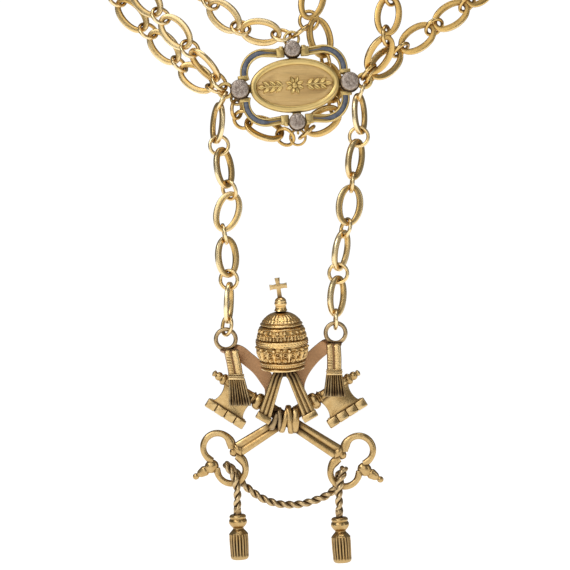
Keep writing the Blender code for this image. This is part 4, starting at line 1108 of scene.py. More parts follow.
@dataclass
class ChainMaker:
    """Makes runs of links from contact points."""

    palette: Palette
    repeat: RepeatTree
    motifs: dict[LinkKind, Mesh] = field(default_factory=dict)
    narrow_ends: float = 0.84

    def motif(self, kind: LinkKind) -> Mesh:
        """Return the mesh of one link, long way up, with tarnish and painted shade inside and rubbed on its
        edges.

        Args:
            kind: The kind of link.

        Returns:
            The mesh.
        """
        if kind in self.motifs:
            return self.motifs[kind]
        size = kind.value
        section = rounded_section(size.band, size.thickness, size.sides, size.square)
        half_width = (size.width - size.band) / 2.0
        half_height = (size.length - size.band) / 2.0
        rings = []
        hollows = []
        edges = []
        for step in range(size.steps):
            turn = math.tau * step / size.steps
            middle = Vector((half_width * math.sin(turn), 0.0, half_height * math.cos(turn)))
            outward = Vector((half_height * math.sin(turn), 0.0, half_width * math.cos(turn))).normalized()
            ends = math.cos(turn) ** 2
            narrow = 1.0 - (1.0 - self.narrow_ends) * ends ** 2 if kind is OVAL else 1.0
            full = 1.0 + 0.2 * (1.0 - ends) if kind is OVAL else 1.0
            ring = []
            for across, depth in section:
                inside = max(0.0, -across / (size.band / 2.0))
                ring.append(middle + outward * (across * (narrow if across > 0.0 else full * narrow))
                            + Y_AXIS * depth)
                # Tarnish and painted shade on the inner face, most at the ends where the links bear.
                hollows.append(inside * (0.22 + 0.6 * ends ** 3))
                edges.append(0.35 * max(0.0, across / (size.band / 2.0)) * (1.0 - 0.6 * ends))
            rings.append(ring)
        mesh = mesh_of("link", [stack_rings(rings, closed=True)])
        for name, values in (("hollow", hollows), ("edge", edges)):
            write_layer(mesh, name, values)
        self.motifs[kind] = mesh
        return mesh

    def run(self, name: str, links: list[tuple[LinkKind, Matrix]], seed: int, lift: float = 0.0,
            lean: float = 0.0) -> Mesh:
        """Return one mesh of links.

        Args:
            name: A name for the mesh.
            links: The kind and the placing of each link.
            seed: A seed for the tone of the links.
            lift: How much paler than the finish the links are.
            lean: How much paler by painted light they are on the left, and darker by painted shade on the
                right.

        Returns:
            The mesh.
        """
        draw = random.Random(seed)
        # Each link's tone is random about the lift, plus painted light on the left and painted shade on the
        # right by the lean.
        tones = [lift + draw.uniform(-0.14, 0.14) - math.copysign(lean, place.translation.x) for _,
                 place in links]
        meshes = []
        for kind in LinkKind:
            chosen = [index for index, (other, _) in enumerate(links) if other is kind]
            if chosen:
                meshes.append(self.repeat.run(self.motif(kind), [links[index][1] for index in chosen],
                                              self.palette[Gilt.LINKS], [tones[index] for index in chosen]))
        return joined(name, meshes)


@dataclass(frozen=True)
class MedallionSizes:
    """The medallion's driving sizes, about its middle."""

    plaque_width: float = 31.2 * MM
    plaque_height: float = 18.9 * MM
    plaque_thickness: float = 1.6 * MM
    plaque_rim: float = 2.3 * MM
    plaque_sink: float = 0.7 * MM
    side_reach: float = 19.1 * MM
    top_reach: float = 12.6 * MM
    side_stud: float = 3.25 * MM
    top_stud: float = 2.85 * MM
    stud_height: float = 2.1 * MM
    seat_back: float = 0.8 * MM
    seat_front: float = -0.85 * MM
    seat_gap: float = 0.3 * MM
    inlay_gap: float = 0.1 * MM
    lobe_x: float = 10.3 * MM
    lobe_z: float = 5.1 * MM
    lobe_radius: float = 7.0 * MM
    lobe_start: float = math.radians(-20.0)
    lobe_end: float = math.radians(98.0)
    lobe_tail: float = 4.6 * MM
    arc_band: float = 2.9 * MM
    arc_half_depth: float = 0.75 * MM
    channel_width: float = 1.6 * MM
    channel_depth: float = 0.6 * MM
    carrier_band: float = 2.2 * MM
    carrier_depth: float = 0.7 * MM
    ear_radius: float = 2.35 * MM
    ear_wire: float = 1.3 * MM
    top_eye_radius: float = 2.5 * MM
    top_eye_rise: float = 0.75 * MM
    top_eye_wire: float = 1.0 * MM
    hook_radius: float = 1.5 * MM
    hook_wire: float = 0.9 * MM
    back_loop_radius: float = 2.0 * MM
    back_loop_wire: float = 1.1 * MM
    back_loop_depth: float = 3.2 * MM
    bite: float = 0.1 * MM

    def placing(self) -> Matrix:
        """Return the placing of the medallion's own frame."""
        return Matrix.Translation(MEDALLION_CENTRE) @ Matrix.Rotation(-MEDALLION_TILT, 4, "Y")

    def ear_reach(self) -> float:
        """Return how far an ear's centre lies from the middle."""
        return self.side_reach + self.side_stud + self.inlay_gap + self.ear_radius - self.ear_wire / 2.0

    def ground(self) -> float:
        """Return the depth of the plaque's sunk ground."""
        back = self.seat_back - self.carrier_depth * 1.05 - self.seat_gap
        return back - self.plaque_thickness + self.plaque_sink

    def top_eye(self) -> Vector:
        """Return the centre of the eye above the top stud."""
        return Vector((0.0, 0.0, self.top_reach + self.top_stud + self.top_eye_rise))

    def hook(self) -> Vector:
        """Return the centre of the small loop behind the bottom stud."""
        drop = self.top_reach + self.top_stud - self.hook_radius * 0.3
        return Vector((0.0, self.seat_back + self.hook_wire, -drop))

    def back_loop(self) -> Vector:
        """Return the centre of the loop behind the left stud."""
        return Vector((-self.side_reach - self.side_stud * 0.4, self.back_loop_depth,
                       -self.side_stud * 0.85))

    def bearing(self, centre: Vector, radius: float, wire: float, turn: float) -> Vector:
        """Return the world point where a link bears inside a loop, at a turn from its top.

        Args:
            centre: The loop's centre.
            radius: The loop's radius.
            wire: Its wire's thickness.
            turn: The turn from its top, in radians.

        Returns:
            The point.
        """
        reach = radius - wire / 2.0 - self.seat_gap - self.bite
        local = centre + Vector((reach * math.sin(turn), 0.0, reach * math.cos(turn)))
        return self.placing() @ local

    def ear_bearing(self, side: float, turn: float) -> Vector:
        """Return where a link bears inside an ear, at a turn from its top."""
        centre = Vector((side * self.ear_reach(), 0.0, 0.0))
        return self.bearing(centre, self.ear_radius, self.ear_wire, math.radians(turn))

    def lobe(self, sign_x: float, sign_z: float, steps: int) -> list[Vector]:
        """Return the middle line of one arc of the frame, with its tail.

        Args:
            sign_x: The arc's side, left or right.
            sign_z: Its side, below or above.
            steps: How many steps the arc takes.

        Returns:
            The points.
        """
        path = []
        for step in range(steps + 1):
            turn = self.lobe_start + (self.lobe_end - self.lobe_start) * step / steps
            x = self.lobe_x + self.lobe_radius * math.cos(turn)
            z = self.lobe_z + self.lobe_radius * math.sin(turn)
            path.append(Vector((sign_x * x, 0.0, sign_z * z)))
        tail = path[-1] - Vector((sign_x * self.lobe_tail, 0.0, sign_z * self.lobe_tail * 0.1))
        return path + [path[-1].lerp(tail, part / 6.0) for part in range(1, 7)]


@dataclass
class DropChain:
    """A chain of ovals and rings from the medallion's ear to a ring of the pendant.

    Each link has its turn in degrees, and how far its lower end lies aside, in bands of an oval.
    """

    side: float
    turns: list[float]
    asides: list[float]
    hanger_wire: float = 1.5 * MM
    end_gap: float = 1.6

    def links(self, sizes: MedallionSizes) -> list[tuple[LinkKind, Matrix]]:
        """Return the kind and the placing of each link.

        Args:
            sizes: The medallion's sizes.

        Returns:
            The links.
        """
        kinds = [RING, OVAL] * 5 + [RING]
        start = sizes.ear_bearing(self.side, 180.0)
        drop = self.hanger_wire / 2.0 + sizes.seat_gap * self.end_gap + sizes.bite
        end = PIVOT + self.side * Vector((HANGER_SPREAD / 2.0, 0.0, HANGER_RISE / 2.0)) - Z_AXIS * drop
        lengths = [kind.value.clear() for kind in kinds]
        run = 0.0
        points = [start]
        for length, aside in zip(lengths, self.asides):
            run += length
            points.append(start.lerp(end, run / sum(lengths)) + X_AXIS * aside * OVAL.value.band)
        points[-1] = end
        points = settle(points, lengths)
        return [(kind, link_place(points[index], points[index + 1], self.turns[index]))
                for index, kind in enumerate(kinds)]


@dataclass
class UnderChain:
    """The run of links under and behind the medallion, with the thin jump ring below it."""

    left: list[tuple[float, float, float]]
    right: list[tuple[float, float, float]]
    big_ring: tuple[float, float, float]

    def big_ring_centre(self, sizes: MedallionSizes) -> tuple[Vector, Vector]:
        """Return the centre of the ring above the medallion, and where its small neighbour bears.

        Args:
            sizes: The medallion's sizes.

        Returns:
            The centre and the bearing.
        """
        start = sizes.bearing(sizes.top_eye(), sizes.top_eye_radius, sizes.top_eye_wire, math.radians(50.0))
        target = MEDALLION_CENTRE + Vector(self.big_ring)
        clear = RING.value.clear()
        knuckle = start + (target - start).normalized() * clear
        lean = (target + Z_AXIS * OVAL.value.band - knuckle).normalized()
        return knuckle + lean * clear / 2.0, knuckle

    def links(self, sizes: MedallionSizes) -> list[tuple[LinkKind, Matrix]]:
        """Return the kind and the placing of each link.

        Args:
            sizes: The medallion's sizes.

        Returns:
            The links.
        """
        hook = sizes.bearing(sizes.hook(), sizes.hook_radius, sizes.hook_wire, math.pi)
        reach = THIN.value.clear() / 2.0
        thin = hook - Z_AXIS * reach
        left_end = thin + Vector((-reach * 0.94, 0.0, -reach * 0.34))
        right_start = thin + Vector((reach * 0.94, 0.0, reach * 0.34))
        start = sizes.bearing(sizes.back_loop(), sizes.back_loop_radius, sizes.back_loop_wire, math.pi)
        left_kinds = [RING, RING, OVAL, RING]
        points = [start] + [MEDALLION_CENTRE + Vector(offset) for offset in self.left] + [left_end]
        points = settle(points, [kind.value.clear() for kind in left_kinds])
        links = [(kind, link_place(points[index], points[index + 1], turn))
                 for index, (kind, turn) in enumerate(zip(left_kinds, [-60, 30, -30, 40]))]
        links.append((THIN, link_place(hook, hook - Z_AXIS * reach * 2.0, 0)))
        centre, knuckle = self.big_ring_centre(sizes)
        big_reach = RING.value.clear() / 2.0
        right_kinds = [RING, OVAL, RING, OVAL, RING, OVAL]
        points = [right_start] + [MEDALLION_CENTRE + Vector(offset) for offset in self.right]
        points.append(centre + Vector((big_reach * 0.97, 0.0, -big_reach * 0.25)))
        points = settle(points, [kind.value.clear() for kind in right_kinds])
        links += [(kind, link_place(points[index], points[index + 1], turn))
                  for index, (kind, turn) in enumerate(zip(right_kinds, [-80, 10, -60, 20, -70, 20]))]
        links.append((RING, link_place(centre + Z_AXIS * big_reach, centre - Z_AXIS * big_reach, 0)))
        eye = sizes.bearing(sizes.top_eye(), sizes.top_eye_radius, sizes.top_eye_wire, math.radians(50.0))
        links.append((RING, link_place(knuckle, eye, 80)))
        return links


@dataclass
class Strand:
    """One strand round the neck, its links a little slack along a route."""

    route: list[tuple[float, float, float]]
    left_turns: list[float]
    right_turns: list[float]
    seed: int
    ends_in_oval: bool = False
    slack: float = 0.9
    left_links: int = 9
    left_pull: float = 0.9
    oval_turns: tuple[float, float] = (-16.0, 8.0)
    ring_turns: tuple[float, float] = (42.0, -58.0)
    turn_play: float = 7.0
    step: float = 0.5 * MM
    halvings: int = 40

    def walk(self, path: list[Vector], lengths: list[float], scale: float) -> tuple[list[Vector], float]:
        """Step along a path by chords.

        Args:
            path: A fine path.
            lengths: The links' clear lengths.
            scale: The share of them that each step takes.

        Returns:
            The contact points, and how much of the path is left over, or minus the lack.
        """
        points = [path[0]]
        place = 0
        for number, length in enumerate(lengths):
            goal = length * (self.left_pull if number < self.left_links else scale)
            while place < len(path) - 1 and (path[place + 1] - points[-1]).length < goal:
                place += 1
            if place == len(path) - 1:
                return points, -float(len(lengths) - number)
            before = (path[place] - points[-1]).length
            after = (path[place + 1] - points[-1]).length
            share = (goal - before) / max(after - before, 1e-12)
            points.append(path[place].lerp(path[place + 1], min(max(share, 0.0), 1.0)))
        return points, (path[-1] - points[-1]).length + (len(path) - 2 - place)

    def links(self, start: Vector, end: Vector) -> list[tuple[LinkKind, Matrix]]:
        """Return the kind and the placing of each link, from its left end to its right end.

        Args:
            start: Where the strand bears on the left.
            end: Where it bears on the right.

        Returns:
            The links.
        """
        knots = [start] + [Vector(point) for point in self.route[1:-1]] + [end]
        path = even_route(knots, self.step)
        reach = self.step * (len(path) - 1)
        pair = RING.value.clear() + OVAL.value.clear()
        pairs = round((reach / self.slack) / pair)
        kinds = [RING, OVAL] * pairs + ([] if self.ends_in_oval else [RING])
        lengths = [kind.value.clear() for kind in kinds]
        low, high = 0.5, 1.0
        for _ in range(self.halvings):
            middle = (low + high) / 2.0
            if self.walk(path, lengths, middle)[1] > 0.0:
                low = middle
            else:
                high = middle
        points = self.walk(path, lengths, low)[0]
        points[-1] = end
        LOG.info("strand: %d links at %.3f of their clear length", len(kinds), low)
        draw = random.Random(self.seed)
        links = []
        for index, kind in enumerate(kinds):
            middle = (points[index] + points[index + 1]) / 2.0
            left = middle.x < 0.0
            choice = self.oval_turns if kind is OVAL else self.ring_turns
            turn = choice[0 if left else 1] + draw.uniform(-self.turn_play, self.turn_play)
            if index < len(self.left_turns):
                turn = self.left_turns[index]
            if len(kinds) - 1 - index < len(self.right_turns):
                turn = self.right_turns[len(kinds) - 1 - index]
            links.append((kind, link_place(points[index], points[index + 1], turn)))
        return links


@dataclass
class Chains:
    """All the chains that the medallion carries."""

    maker: ChainMaker
    sizes: MedallionSizes

    def build(self) -> list[Object]:
        """Make the drop chains, the chain below the medallion and the three strands.

        Returns:
            The new pieces.
        """
        drops = {
            "drop_chain_left": DropChain(-1.0, [90, 62, -8, 130, 48, -5, 85, -36, 22, -78, 60],
                                         [-0.9, -1.2, -0.7, 0.2, 0.5, 0.0, 0.05, 0.35, 0.4, 0.2, 0]),
            "drop_chain_right": DropChain(1.0, [90, -60, 5, 130, 88, -10, 65, -55, 10, 130, 88],
                                          [-0.5, 0.1, 0.0, -0.1, -0.1, -0.2, -0.4, -0.6, -0.5, -0.2, 0]),
        }
        pieces = []
        for seed, (name, drop) in enumerate(drops.items()):
            mesh = self.maker.run(name, drop.links(self.sizes), 11 + seed, 0.1)
            pieces.append(add_piece(name + "_links", mesh, "chain", [name]))
        under = UnderChain(
            in_mm([(-21.0, 3.4, -10.3), (-16.3, 3.6, -12.2), (-6.2, 3.2, -16.4)]),
            in_mm([(5.4, 4.6, -15.2), (14.5, 5.2, -12.4), (13.4, 5.2, -7.7), (13.1, 5.6, 3.0),
                   (11.7, 5.8, 8.1)]),
            (5.7 * MM, 2.2 * MM, 22.3 * MM),
        )
        mesh = self.maker.run("under_chain", under.links(self.sizes), 21, -0.34)
        pieces.append(add_piece("under_chain_links", mesh, "chain", ["under_chain"]))
        big_centre, _ = under.big_ring_centre(self.sizes)
        eye = self.sizes.bearing(self.sizes.top_eye(), self.sizes.top_eye_radius, self.sizes.top_eye_wire,
                                 math.radians(-50.0))
        ends = {
            "strand_outer": (self.sizes.ear_bearing(-1.0, -105.0), self.sizes.ear_bearing(1.0, 95.0)),
            "strand_middle": (self.sizes.ear_bearing(-1.0, -15.0), self.sizes.ear_bearing(1.0, 5.0)),
            "strand_inner": (eye, big_centre + Z_AXIS * (RING.value.clear() / 2.0)),
        }
        for name, strand in STRANDS.items():
            # The strands are paler on the left by painted light and darker on the right by painted shade.
            mesh = self.maker.run(name, strand.links(*ends[name]), strand.seed, -0.1, 0.2)
            pieces.append(add_piece(name + "_links", mesh, "chain", [name]))
        return pieces


def in_mm(points: list[tuple[float, float, float]]) -> list[tuple[float, float, float]]:
    """Return points given in millimetres in metres."""
    return [(x * MM, y * MM, z * MM) for x, y, z in points]


# The strands' routes round the neck, in millimetres
STRANDS = {
    "strand_outer": Strand(in_mm([
        (-23.7, -121.5, -270.5), (-33.4, -121.9, -265.3), (-43.4, -122.0, -254.0), (-54.3, -121.5, -243.9),
        (-68.0, -120.5, -225.0), (-80.0, -119.5, -200.0), (-90.0, -119.0, -165.0), (-95.0, -118.0, -125.0),
        (-94.0, -110.0, -90.0), (-88.0, -95.0, -60.0), (-74.0, -60.0, -39.0), (-47.0, -22.0, -20.0),
        (-21.0, -3.5, -10.5), (0.0, 0.5, -7.5), (21.0, -3.5, -10.5), (47.0, -22.0, -20.0),
        (74.0, -60.0, -39.0), (88.0, -95.0, -60.0), (95.0, -110.0, -92.0), (96.0, -118.0, -130.0),
        (93.0, -119.0, -170.0), (85.0, -119.5, -205.0), (74.0, -120.5, -228.0), (63.4, -121.5, -240.8),
        (46.2, -122.0, -252.6), (35.0, -122.2, -261.0), (30.7, -121.5, -266.9),
    ]), [66, -8, 62, -16, 44, -18, 42], [-76, -2, -72, 6, -52, 8], 31,
        left_pull=0.995),
    "strand_middle": Strand(in_mm([
        (-22.6, -128.5, -268.6), (-28.7, -128.0, -261.9), (-36.8, -127.6, -252.6), (-44.0, -127.2, -244.6),
        (-48.0, -126.8, -240.6), (-60.0, -125.5, -224.0), (-70.0, -124.5, -200.0), (-79.0, -124.0, -165.0),
        (-84.0, -121.0, -125.0), (-83.0, -110.0, -90.0), (-78.0, -92.0, -60.0), (-62.0, -55.0, -32.0),
        (-40.0, -20.0, -11.0), (-18.0, -4.0, -2.0), (0.0, 0.0, 0.0), (18.0, -4.0, -2.0),
        (40.0, -20.0, -11.0), (62.0, -55.0, -32.0), (78.0, -92.0, -60.0), (81.0, -110.0, -85.0),
        (76.0, -121.0, -118.0), (66.0, -124.0, -152.0), (52.0, -124.5, -190.0), (41.0, -125.5, -222.0),
        (35.6, -127.2, -244.0), (34.4, -128.0, -257.0), (28.4, -128.5, -265.4),
    ]), [52, -60, 36, -12, 40, -16, 42], [-80, -28, -66, 4, -50, 6], 37,
        left_pull=0.955),
    "strand_inner": Strand(in_mm([
        (-1.3, -124.6, -251.6), (-9.2, -124.4, -250.6), (-15.4, -124.2, -249.7), (-21.7, -124.0, -245.8),
        (-26.2, -123.8, -239.5), (-36.0, -122.8, -222.0), (-48.0, -121.5, -195.0), (-58.0, -120.0, -160.0),
        (-66.0, -117.0, -125.0), (-69.0, -107.0, -90.0), (-65.0, -88.0, -55.0), (-52.0, -55.0, -26.0),
        (-34.0, -20.0, -5.0), (-16.0, -4.0, 5.0), (0.0, 0.0, 7.5), (16.0, -4.0, 5.0),
        (34.0, -20.0, -5.0), (52.0, -55.0, -26.0), (65.0, -88.0, -55.0), (62.0, -107.0, -90.0),
        (52.0, -117.0, -125.0), (39.0, -120.0, -160.0), (25.0, -121.5, -195.0), (14.5, -122.4, -222.0),
        (10.4, -122.9, -242.1),
    ]), [48, -14, 40, -18, 42], [-2, -60, 6], 41, ends_in_oval=True),
}


# Medallion


@dataclass
class Medallion:
    """The oval medallion: frame, enamel, plaque and studs."""

    palette: Palette
    repeat: RepeatTree
    sizes: MedallionSizes
    lobe_steps: int = 40
    inlay_steps: int = 60
    inlay_skips: int = 4
    oval_sides: int = 96
    stud_sides: int = 48
    petals: int = 8
    leaf_pairs: int = 3

    def loop(self, centre: Vector, radius: float, wire: float, crosswise: bool) -> Shell:
        """Return a soldered wire loop whose hole runs along Y, or along X if crosswise.

        Args:
            centre: The loop's centre.
            radius: Its radius.
            wire: Its wire's thickness.
            crosswise: Whether its hole runs along X.

        Returns:
            The shell.
        """
        shell = loop_shell(radius, radius, rounded_section(wire, wire, 12, 2.0), 32)
        turn = Matrix.Rotation(math.pi / 2.0, 4, "Z") if crosswise else Matrix.Identity(4)
        return moved(shell, Matrix.Translation(centre) @ turn)

    def channel(self) -> list[tuple[float, float]]:
        """Return the arc's section: two rounded rims with a sunk channel between.

        Returns:
            Pairs of across and depth.
        """
        sizes = self.sizes
        half = sizes.arc_band / 2.0
        lip = sizes.channel_width / 2.0
        front = -sizes.arc_half_depth
        floor = front + sizes.channel_depth
        rim = [(-half + 0.12 * MM, -front), (-half, -front - 0.15 * MM), (-half, front + 0.3 * MM),
               (-half + 0.1 * MM, front + 0.08 * MM), (-half + 0.3 * MM, front), (-lip - 0.2 * MM, front),
               (-lip - 0.04 * MM, front + 0.1 * MM), (-lip, front + 0.3 * MM), (-lip, floor)]
        return rim + [(-across, depth) for across, depth in reversed(rim)]

    def frame(self) -> Mesh:
        """Return the frame: arcs, seats, lugs, ears, eyes and the carrier behind the plaque.

        Returns:
            The mesh.
        """
        sizes = self.sizes
        shells = []
        for sign_x in (-1.0, 1.0):
            for sign_z in (-1.0, 1.0):
                shells.append(path_shell(sizes.lobe(sign_x, sign_z, self.lobe_steps), self.channel()))
                aside = sizes.top_stud + 1.4 * MM
                lug = (sign_x * aside, 0.0, sign_z * (sizes.top_reach - 0.9 * MM))
                shells.append(soft_block(lug, (3.0 * MM, 1.6 * MM, 3.4 * MM), 0.35 * MM))
                step = (sign_x * (aside - 0.4 * MM), -0.1 * MM, sign_z * (sizes.top_reach + 0.5 * MM))
                shells.append(soft_block(step, (1.7 * MM, 1.7 * MM, 1.5 * MM), 0.35 * MM))
                lift = sizes.side_stud + 0.6 * MM
                lug = (sign_x * (sizes.side_reach - 1.3 * MM), 0.0, sign_z * lift)
                shells.append(soft_block(lug, (3.6 * MM, 1.6 * MM, 1.5 * MM), 0.3 * MM))
            shells.append(self.loop(Vector((sign_x * sizes.ear_reach(), 0.0, 0.0)), sizes.ear_radius,
                                    sizes.ear_wire, False))
        depth = sizes.seat_back - sizes.carrier_depth / 2.0
        shells.append(soft_block((0.0, depth, 0.0), (2.0 * sizes.side_reach, sizes.carrier_depth, 3.0 * MM),
                                 0.2 * MM))
        shells.append(soft_block((0.0, depth, 0.0),
                                 (3.0 * MM, sizes.carrier_depth * 0.9, 2.0 * sizes.top_reach),
                                 0.2 * MM))
        band = rounded_section(sizes.carrier_band, sizes.carrier_depth, 10, 4.0)
        carrier = loop_shell(sizes.plaque_width / 2.0 - sizes.carrier_band / 2.0,
                             sizes.plaque_height / 2.0 - sizes.carrier_band / 2.0, band, 72)
        shells.append(moved(carrier, Matrix.Translation((0.0, depth, 0.0))))
        shells.append(self.loop(sizes.top_eye(), sizes.top_eye_radius, sizes.top_eye_wire, False))
        shells.append(self.loop(sizes.hook(), sizes.hook_radius, sizes.hook_wire, True))
        back = sizes.back_loop()
        shells.append(self.loop(back, sizes.back_loop_radius, sizes.back_loop_wire, False))
        post = (back.x, sizes.back_loop_depth / 2.0, back.z + sizes.back_loop_radius)
        wire = sizes.back_loop_wire * 0.9
        shells.append(soft_block(post, (wire, sizes.back_loop_depth, wire), 0.2 * MM))
        gilt = finished(mesh_of("frame", shells), self.palette[Gilt.FRAME])
        seats = []
        for x, z, radius in self.stud_places().values():
            rim = radius + sizes.inlay_gap * 2.0
            profile = [(0.0, -sizes.seat_back), (rim - 0.2 * MM, -sizes.seat_back),
                       (rim, -sizes.seat_back + 0.2 * MM),
                       (rim, -sizes.seat_front - 0.15 * MM), (rim - 0.15 * MM, -sizes.seat_front),
                       (0.0, -sizes.seat_front)]
            upright = Matrix.Translation((x, 0.0, z - 0.3 * MM)) @ Matrix.Rotation(math.pi / 2.0, 4, "X")
            seats.append(moved(spun(profile, 40, parts=1), upright))
        # The seats are dark with tarnish, and their rim, set a little low, shows below each stud as a
        # painted shadow.
        dark = finished(mesh_of("seats", seats), self.palette[Gilt.TARNISHED])
        with_tarnish_and_shade(dark, lambda place: 0.6)
        return joined("frame", [gilt, dark])

    def stud_places(self) -> dict[str, tuple[float, float, float]]:
        """Return each stud's place across and up, and its radius.

        Returns:
            The studs under their names.
        """
        sizes = self.sizes
        return {
            "stud_left": (-sizes.side_reach, 0.0, sizes.side_stud),
            "stud_right": (sizes.side_reach, 0.0, sizes.side_stud),
            "stud_top": (0.0, sizes.top_reach, sizes.top_stud),
            "stud_bottom": (0.0, -sizes.top_reach, sizes.top_stud),
        }

    def stud(self, x: float, z: float, radius: float) -> Mesh:
        """Return a stud: a low faceted disc with a hammered, rough face.

        Args:
            x: Its place across.
            z: Its place up.
            radius: Its radius.

        Returns:
            The mesh.
        """
        sizes = self.sizes
        rows = [(0.0, 0.0), (1.0, 0.0), (1.0, 0.45), (0.985, 0.66), (0.93, 0.82), (0.84, 0.92),
                (0.72, 0.96), (0.58, 1.0), (0.42, 1.0), (0.26, 0.99), (0.12, 0.97), (0.0, 0.96)]
        rings = []
        for share, rise in rows:
            ring = []
            for step in range(self.stud_sides):
                turn = math.tau * step / self.stud_sides
                reach = max(share * radius, TIP)
                spot = Vector((reach * math.cos(turn), 0.0, reach * math.sin(turn)))
                grain = noise.noise(Vector((spot.x + x, spot.z + z, 0.3)) / (0.75 * MM))
                grain += 0.5 * noise.noise(Vector((spot.x, spot.z + x, 0.7)) / (0.3 * MM))
                rough = 0.13 * MM * grain * min(1.0, rise * 1.2)
                depth = sizes.seat_front - sizes.seat_gap - (sizes.stud_height - sizes.seat_gap) * rise
                ring.append(spot + Vector((x, depth - rough * (1.0 if share > 0.0 else 0.0), z)))
            rings.append(ring)
        return finished(mesh_of("stud", [stack_rings(rings)]), self.palette[Gilt.SILVER])

    def inlay(self, sign_x: float, sign_z: float) -> Mesh:
        """Return the enamel in one channel, pointed towards the top or bottom stud.

        Args:
            sign_x: The channel's side, left or right.
            sign_z: Its side, below or above.

        Returns:
            The mesh.
        """
        sizes = self.sizes
        path = sizes.lobe(sign_x, sign_z, self.inlay_steps)[self.inlay_skips:-1]
        half = sizes.channel_width / 2.0 - 0.05 * MM
        floor = -sizes.arc_half_depth + sizes.channel_depth - sizes.inlay_gap * 0.5
        front = -sizes.arc_half_depth + sizes.inlay_gap
        section = [(-half, floor), (-half, front + 0.12 * MM), (-half * 0.6, front + 0.03 * MM),
                   (0.0, front), (half * 0.6, front + 0.03 * MM), (half, front + 0.12 * MM), (half, floor)]
        scales = []
        for index in range(len(path)):
            share = index / (len(path) - 1)
            blunt = min(1.0, 0.55 + share * 12.0)
            point = min(1.0, (1.0 - share) * 3.2 + 0.12)
            scales.append(blunt * point)
        return finished(mesh_of("inlay", [path_shell(path, section, scales)]), self.palette[Gilt.ENAMEL])

    def leaf(self, length: float, width: float, rise: float, crease: float) -> Mesh:
        """Return one raised leaf that points along X and stands proud towards the viewer.

        Args:
            length: The leaf's length.
            width: Its width.
            rise: How proud it stands.
            crease: How deep its middle is creased.

        Returns:
            The mesh.
        """
        rings = []
        for step in range(13):
            share = step / 12.0
            half = width / 2.0 * max(0.04, math.sin(math.pi * share ** 0.8) ** 0.8)
            lift = rise * (0.25 + 0.75 * math.sin(math.pi * min(1.0, share * 0.9 + 0.08)))
            ring = [Vector((length * share, 0.2 * MM, -half)), Vector((length * share, 0.2 * MM, half))]
            for across, height in ((1.0, 0.1), (0.85, 0.6), (0.5, 1.0), (0.15, 0.95 - crease),
                                   (0.0, 0.85 - crease),
                                   (-0.15, 0.95 - crease), (-0.5, 1.0), (-0.85, 0.6), (-1.0, 0.1)):
                ring.append(Vector((length * share, -lift * height, half * across)))
            rings.append(ring)
        return mesh_of("leaf", [stack_rings(rings)])

    def plaque(self) -> Mesh:
        """Return the plaque: a rounded rim, a brushed ground and a rosette between two sprigs.

        Returns:
            The mesh.
        """
        sizes = self.sizes
        ground = sizes.ground()
        front = ground - sizes.plaque_sink
        back = front + sizes.plaque_thickness
        rim = sizes.plaque_rim
        rows = [(0.4 * MM, back), (0.0, back - 0.25 * MM), (0.0, front + 0.75 * MM),
                (0.12 * MM, front + 0.4 * MM),
                (0.45 * MM, front + 0.12 * MM), (0.95 * MM, front), (rim * 0.6, front + 0.02 * MM),
                (rim * 0.85, front + 0.2 * MM), (rim * 0.98, front + 0.42 * MM), (rim + 0.06 * MM, ground)]
        gilt = self.palette[Gilt.FRAME]
        smooth = finished(mesh_of("rim", [stack_rings([self.oval(inset, depth) for inset, depth in rows])]),
                          gilt)
        rings = [self.oval(rim - 0.1 * MM, ground + 0.3 * MM),
                 self.oval(rim - 0.1 * MM, ground - 0.02 * MM),
                 self.oval(rim + 1.2 * MM, ground - 0.02 * MM)]
        floor = finished(mesh_of("floor", [stack_rings(rings)]), self.palette[Gilt.GROUND])
        meshes = [smooth, floor]
        meshes.append(self.repeat.run(self.leaf(2.7 * MM, 1.75 * MM, 0.55 * MM, 0.25), self.rosette(ground),
                                      gilt))
        meshes.append(self.repeat.run(self.leaf(3.1 * MM, 1.65 * MM, 0.5 * MM, 0.3), self.sprigs(ground),
                                      gilt))
        boss = spun([(1.05 * MM, 0.0), (0.95 * MM, 0.35 * MM), (0.6 * MM, 0.62 * MM), (0.0, 0.7 * MM)], 24)
        upright = Matrix.Translation((0.0, ground, 0.0)) @ Matrix.Rotation(math.pi / 2.0, 4, "X")
        meshes.append(finished(mesh_of("boss", [moved(boss, upright)]), gilt))
        stems = []
        for side in (-1.0, 1.0):
            stem = [Vector((side * (3.9 + 7.0 * part / 10.0) * MM, ground - 0.15 * MM, 0.0))
                    for part in range(11)]
            stems.append(path_shell(stem, rounded_section(0.55 * MM, 0.5 * MM, 8, 2.0)))
        meshes.append(finished(mesh_of("stems", stems), gilt))
        return joined("plaque", meshes)

    def oval(self, inset: float, depth: float) -> list[Vector]:
        """Return a ring of points inside the plaque's outline.

        Args:
            inset: How far inside the outline.
            depth: The ring's depth.

        Returns:
            The ring.
        """
        half_width = self.sizes.plaque_width / 2.0 - inset
        half_height = self.sizes.plaque_height / 2.0 - inset
        turns = [math.tau * step / self.oval_sides for step in range(self.oval_sides)]
        return [Vector((half_width * math.cos(turn), depth, half_height * math.sin(turn)))
                for turn in turns]

    def rosette(self, ground: float) -> list[Matrix]:
        """Return the placing of the petals.

        Args:
            ground: The depth of the ground.

        Returns:
            The placings.
        """
        places = []
        for step in range(self.petals):
            turn = math.tau * (step + 0.5) / self.petals
            start = Vector((0.75 * MM * math.cos(turn), ground, 0.75 * MM * math.sin(turn)))
            places.append(Matrix.Translation(start) @ Matrix.Rotation(-turn, 4, "Y"))
        return places

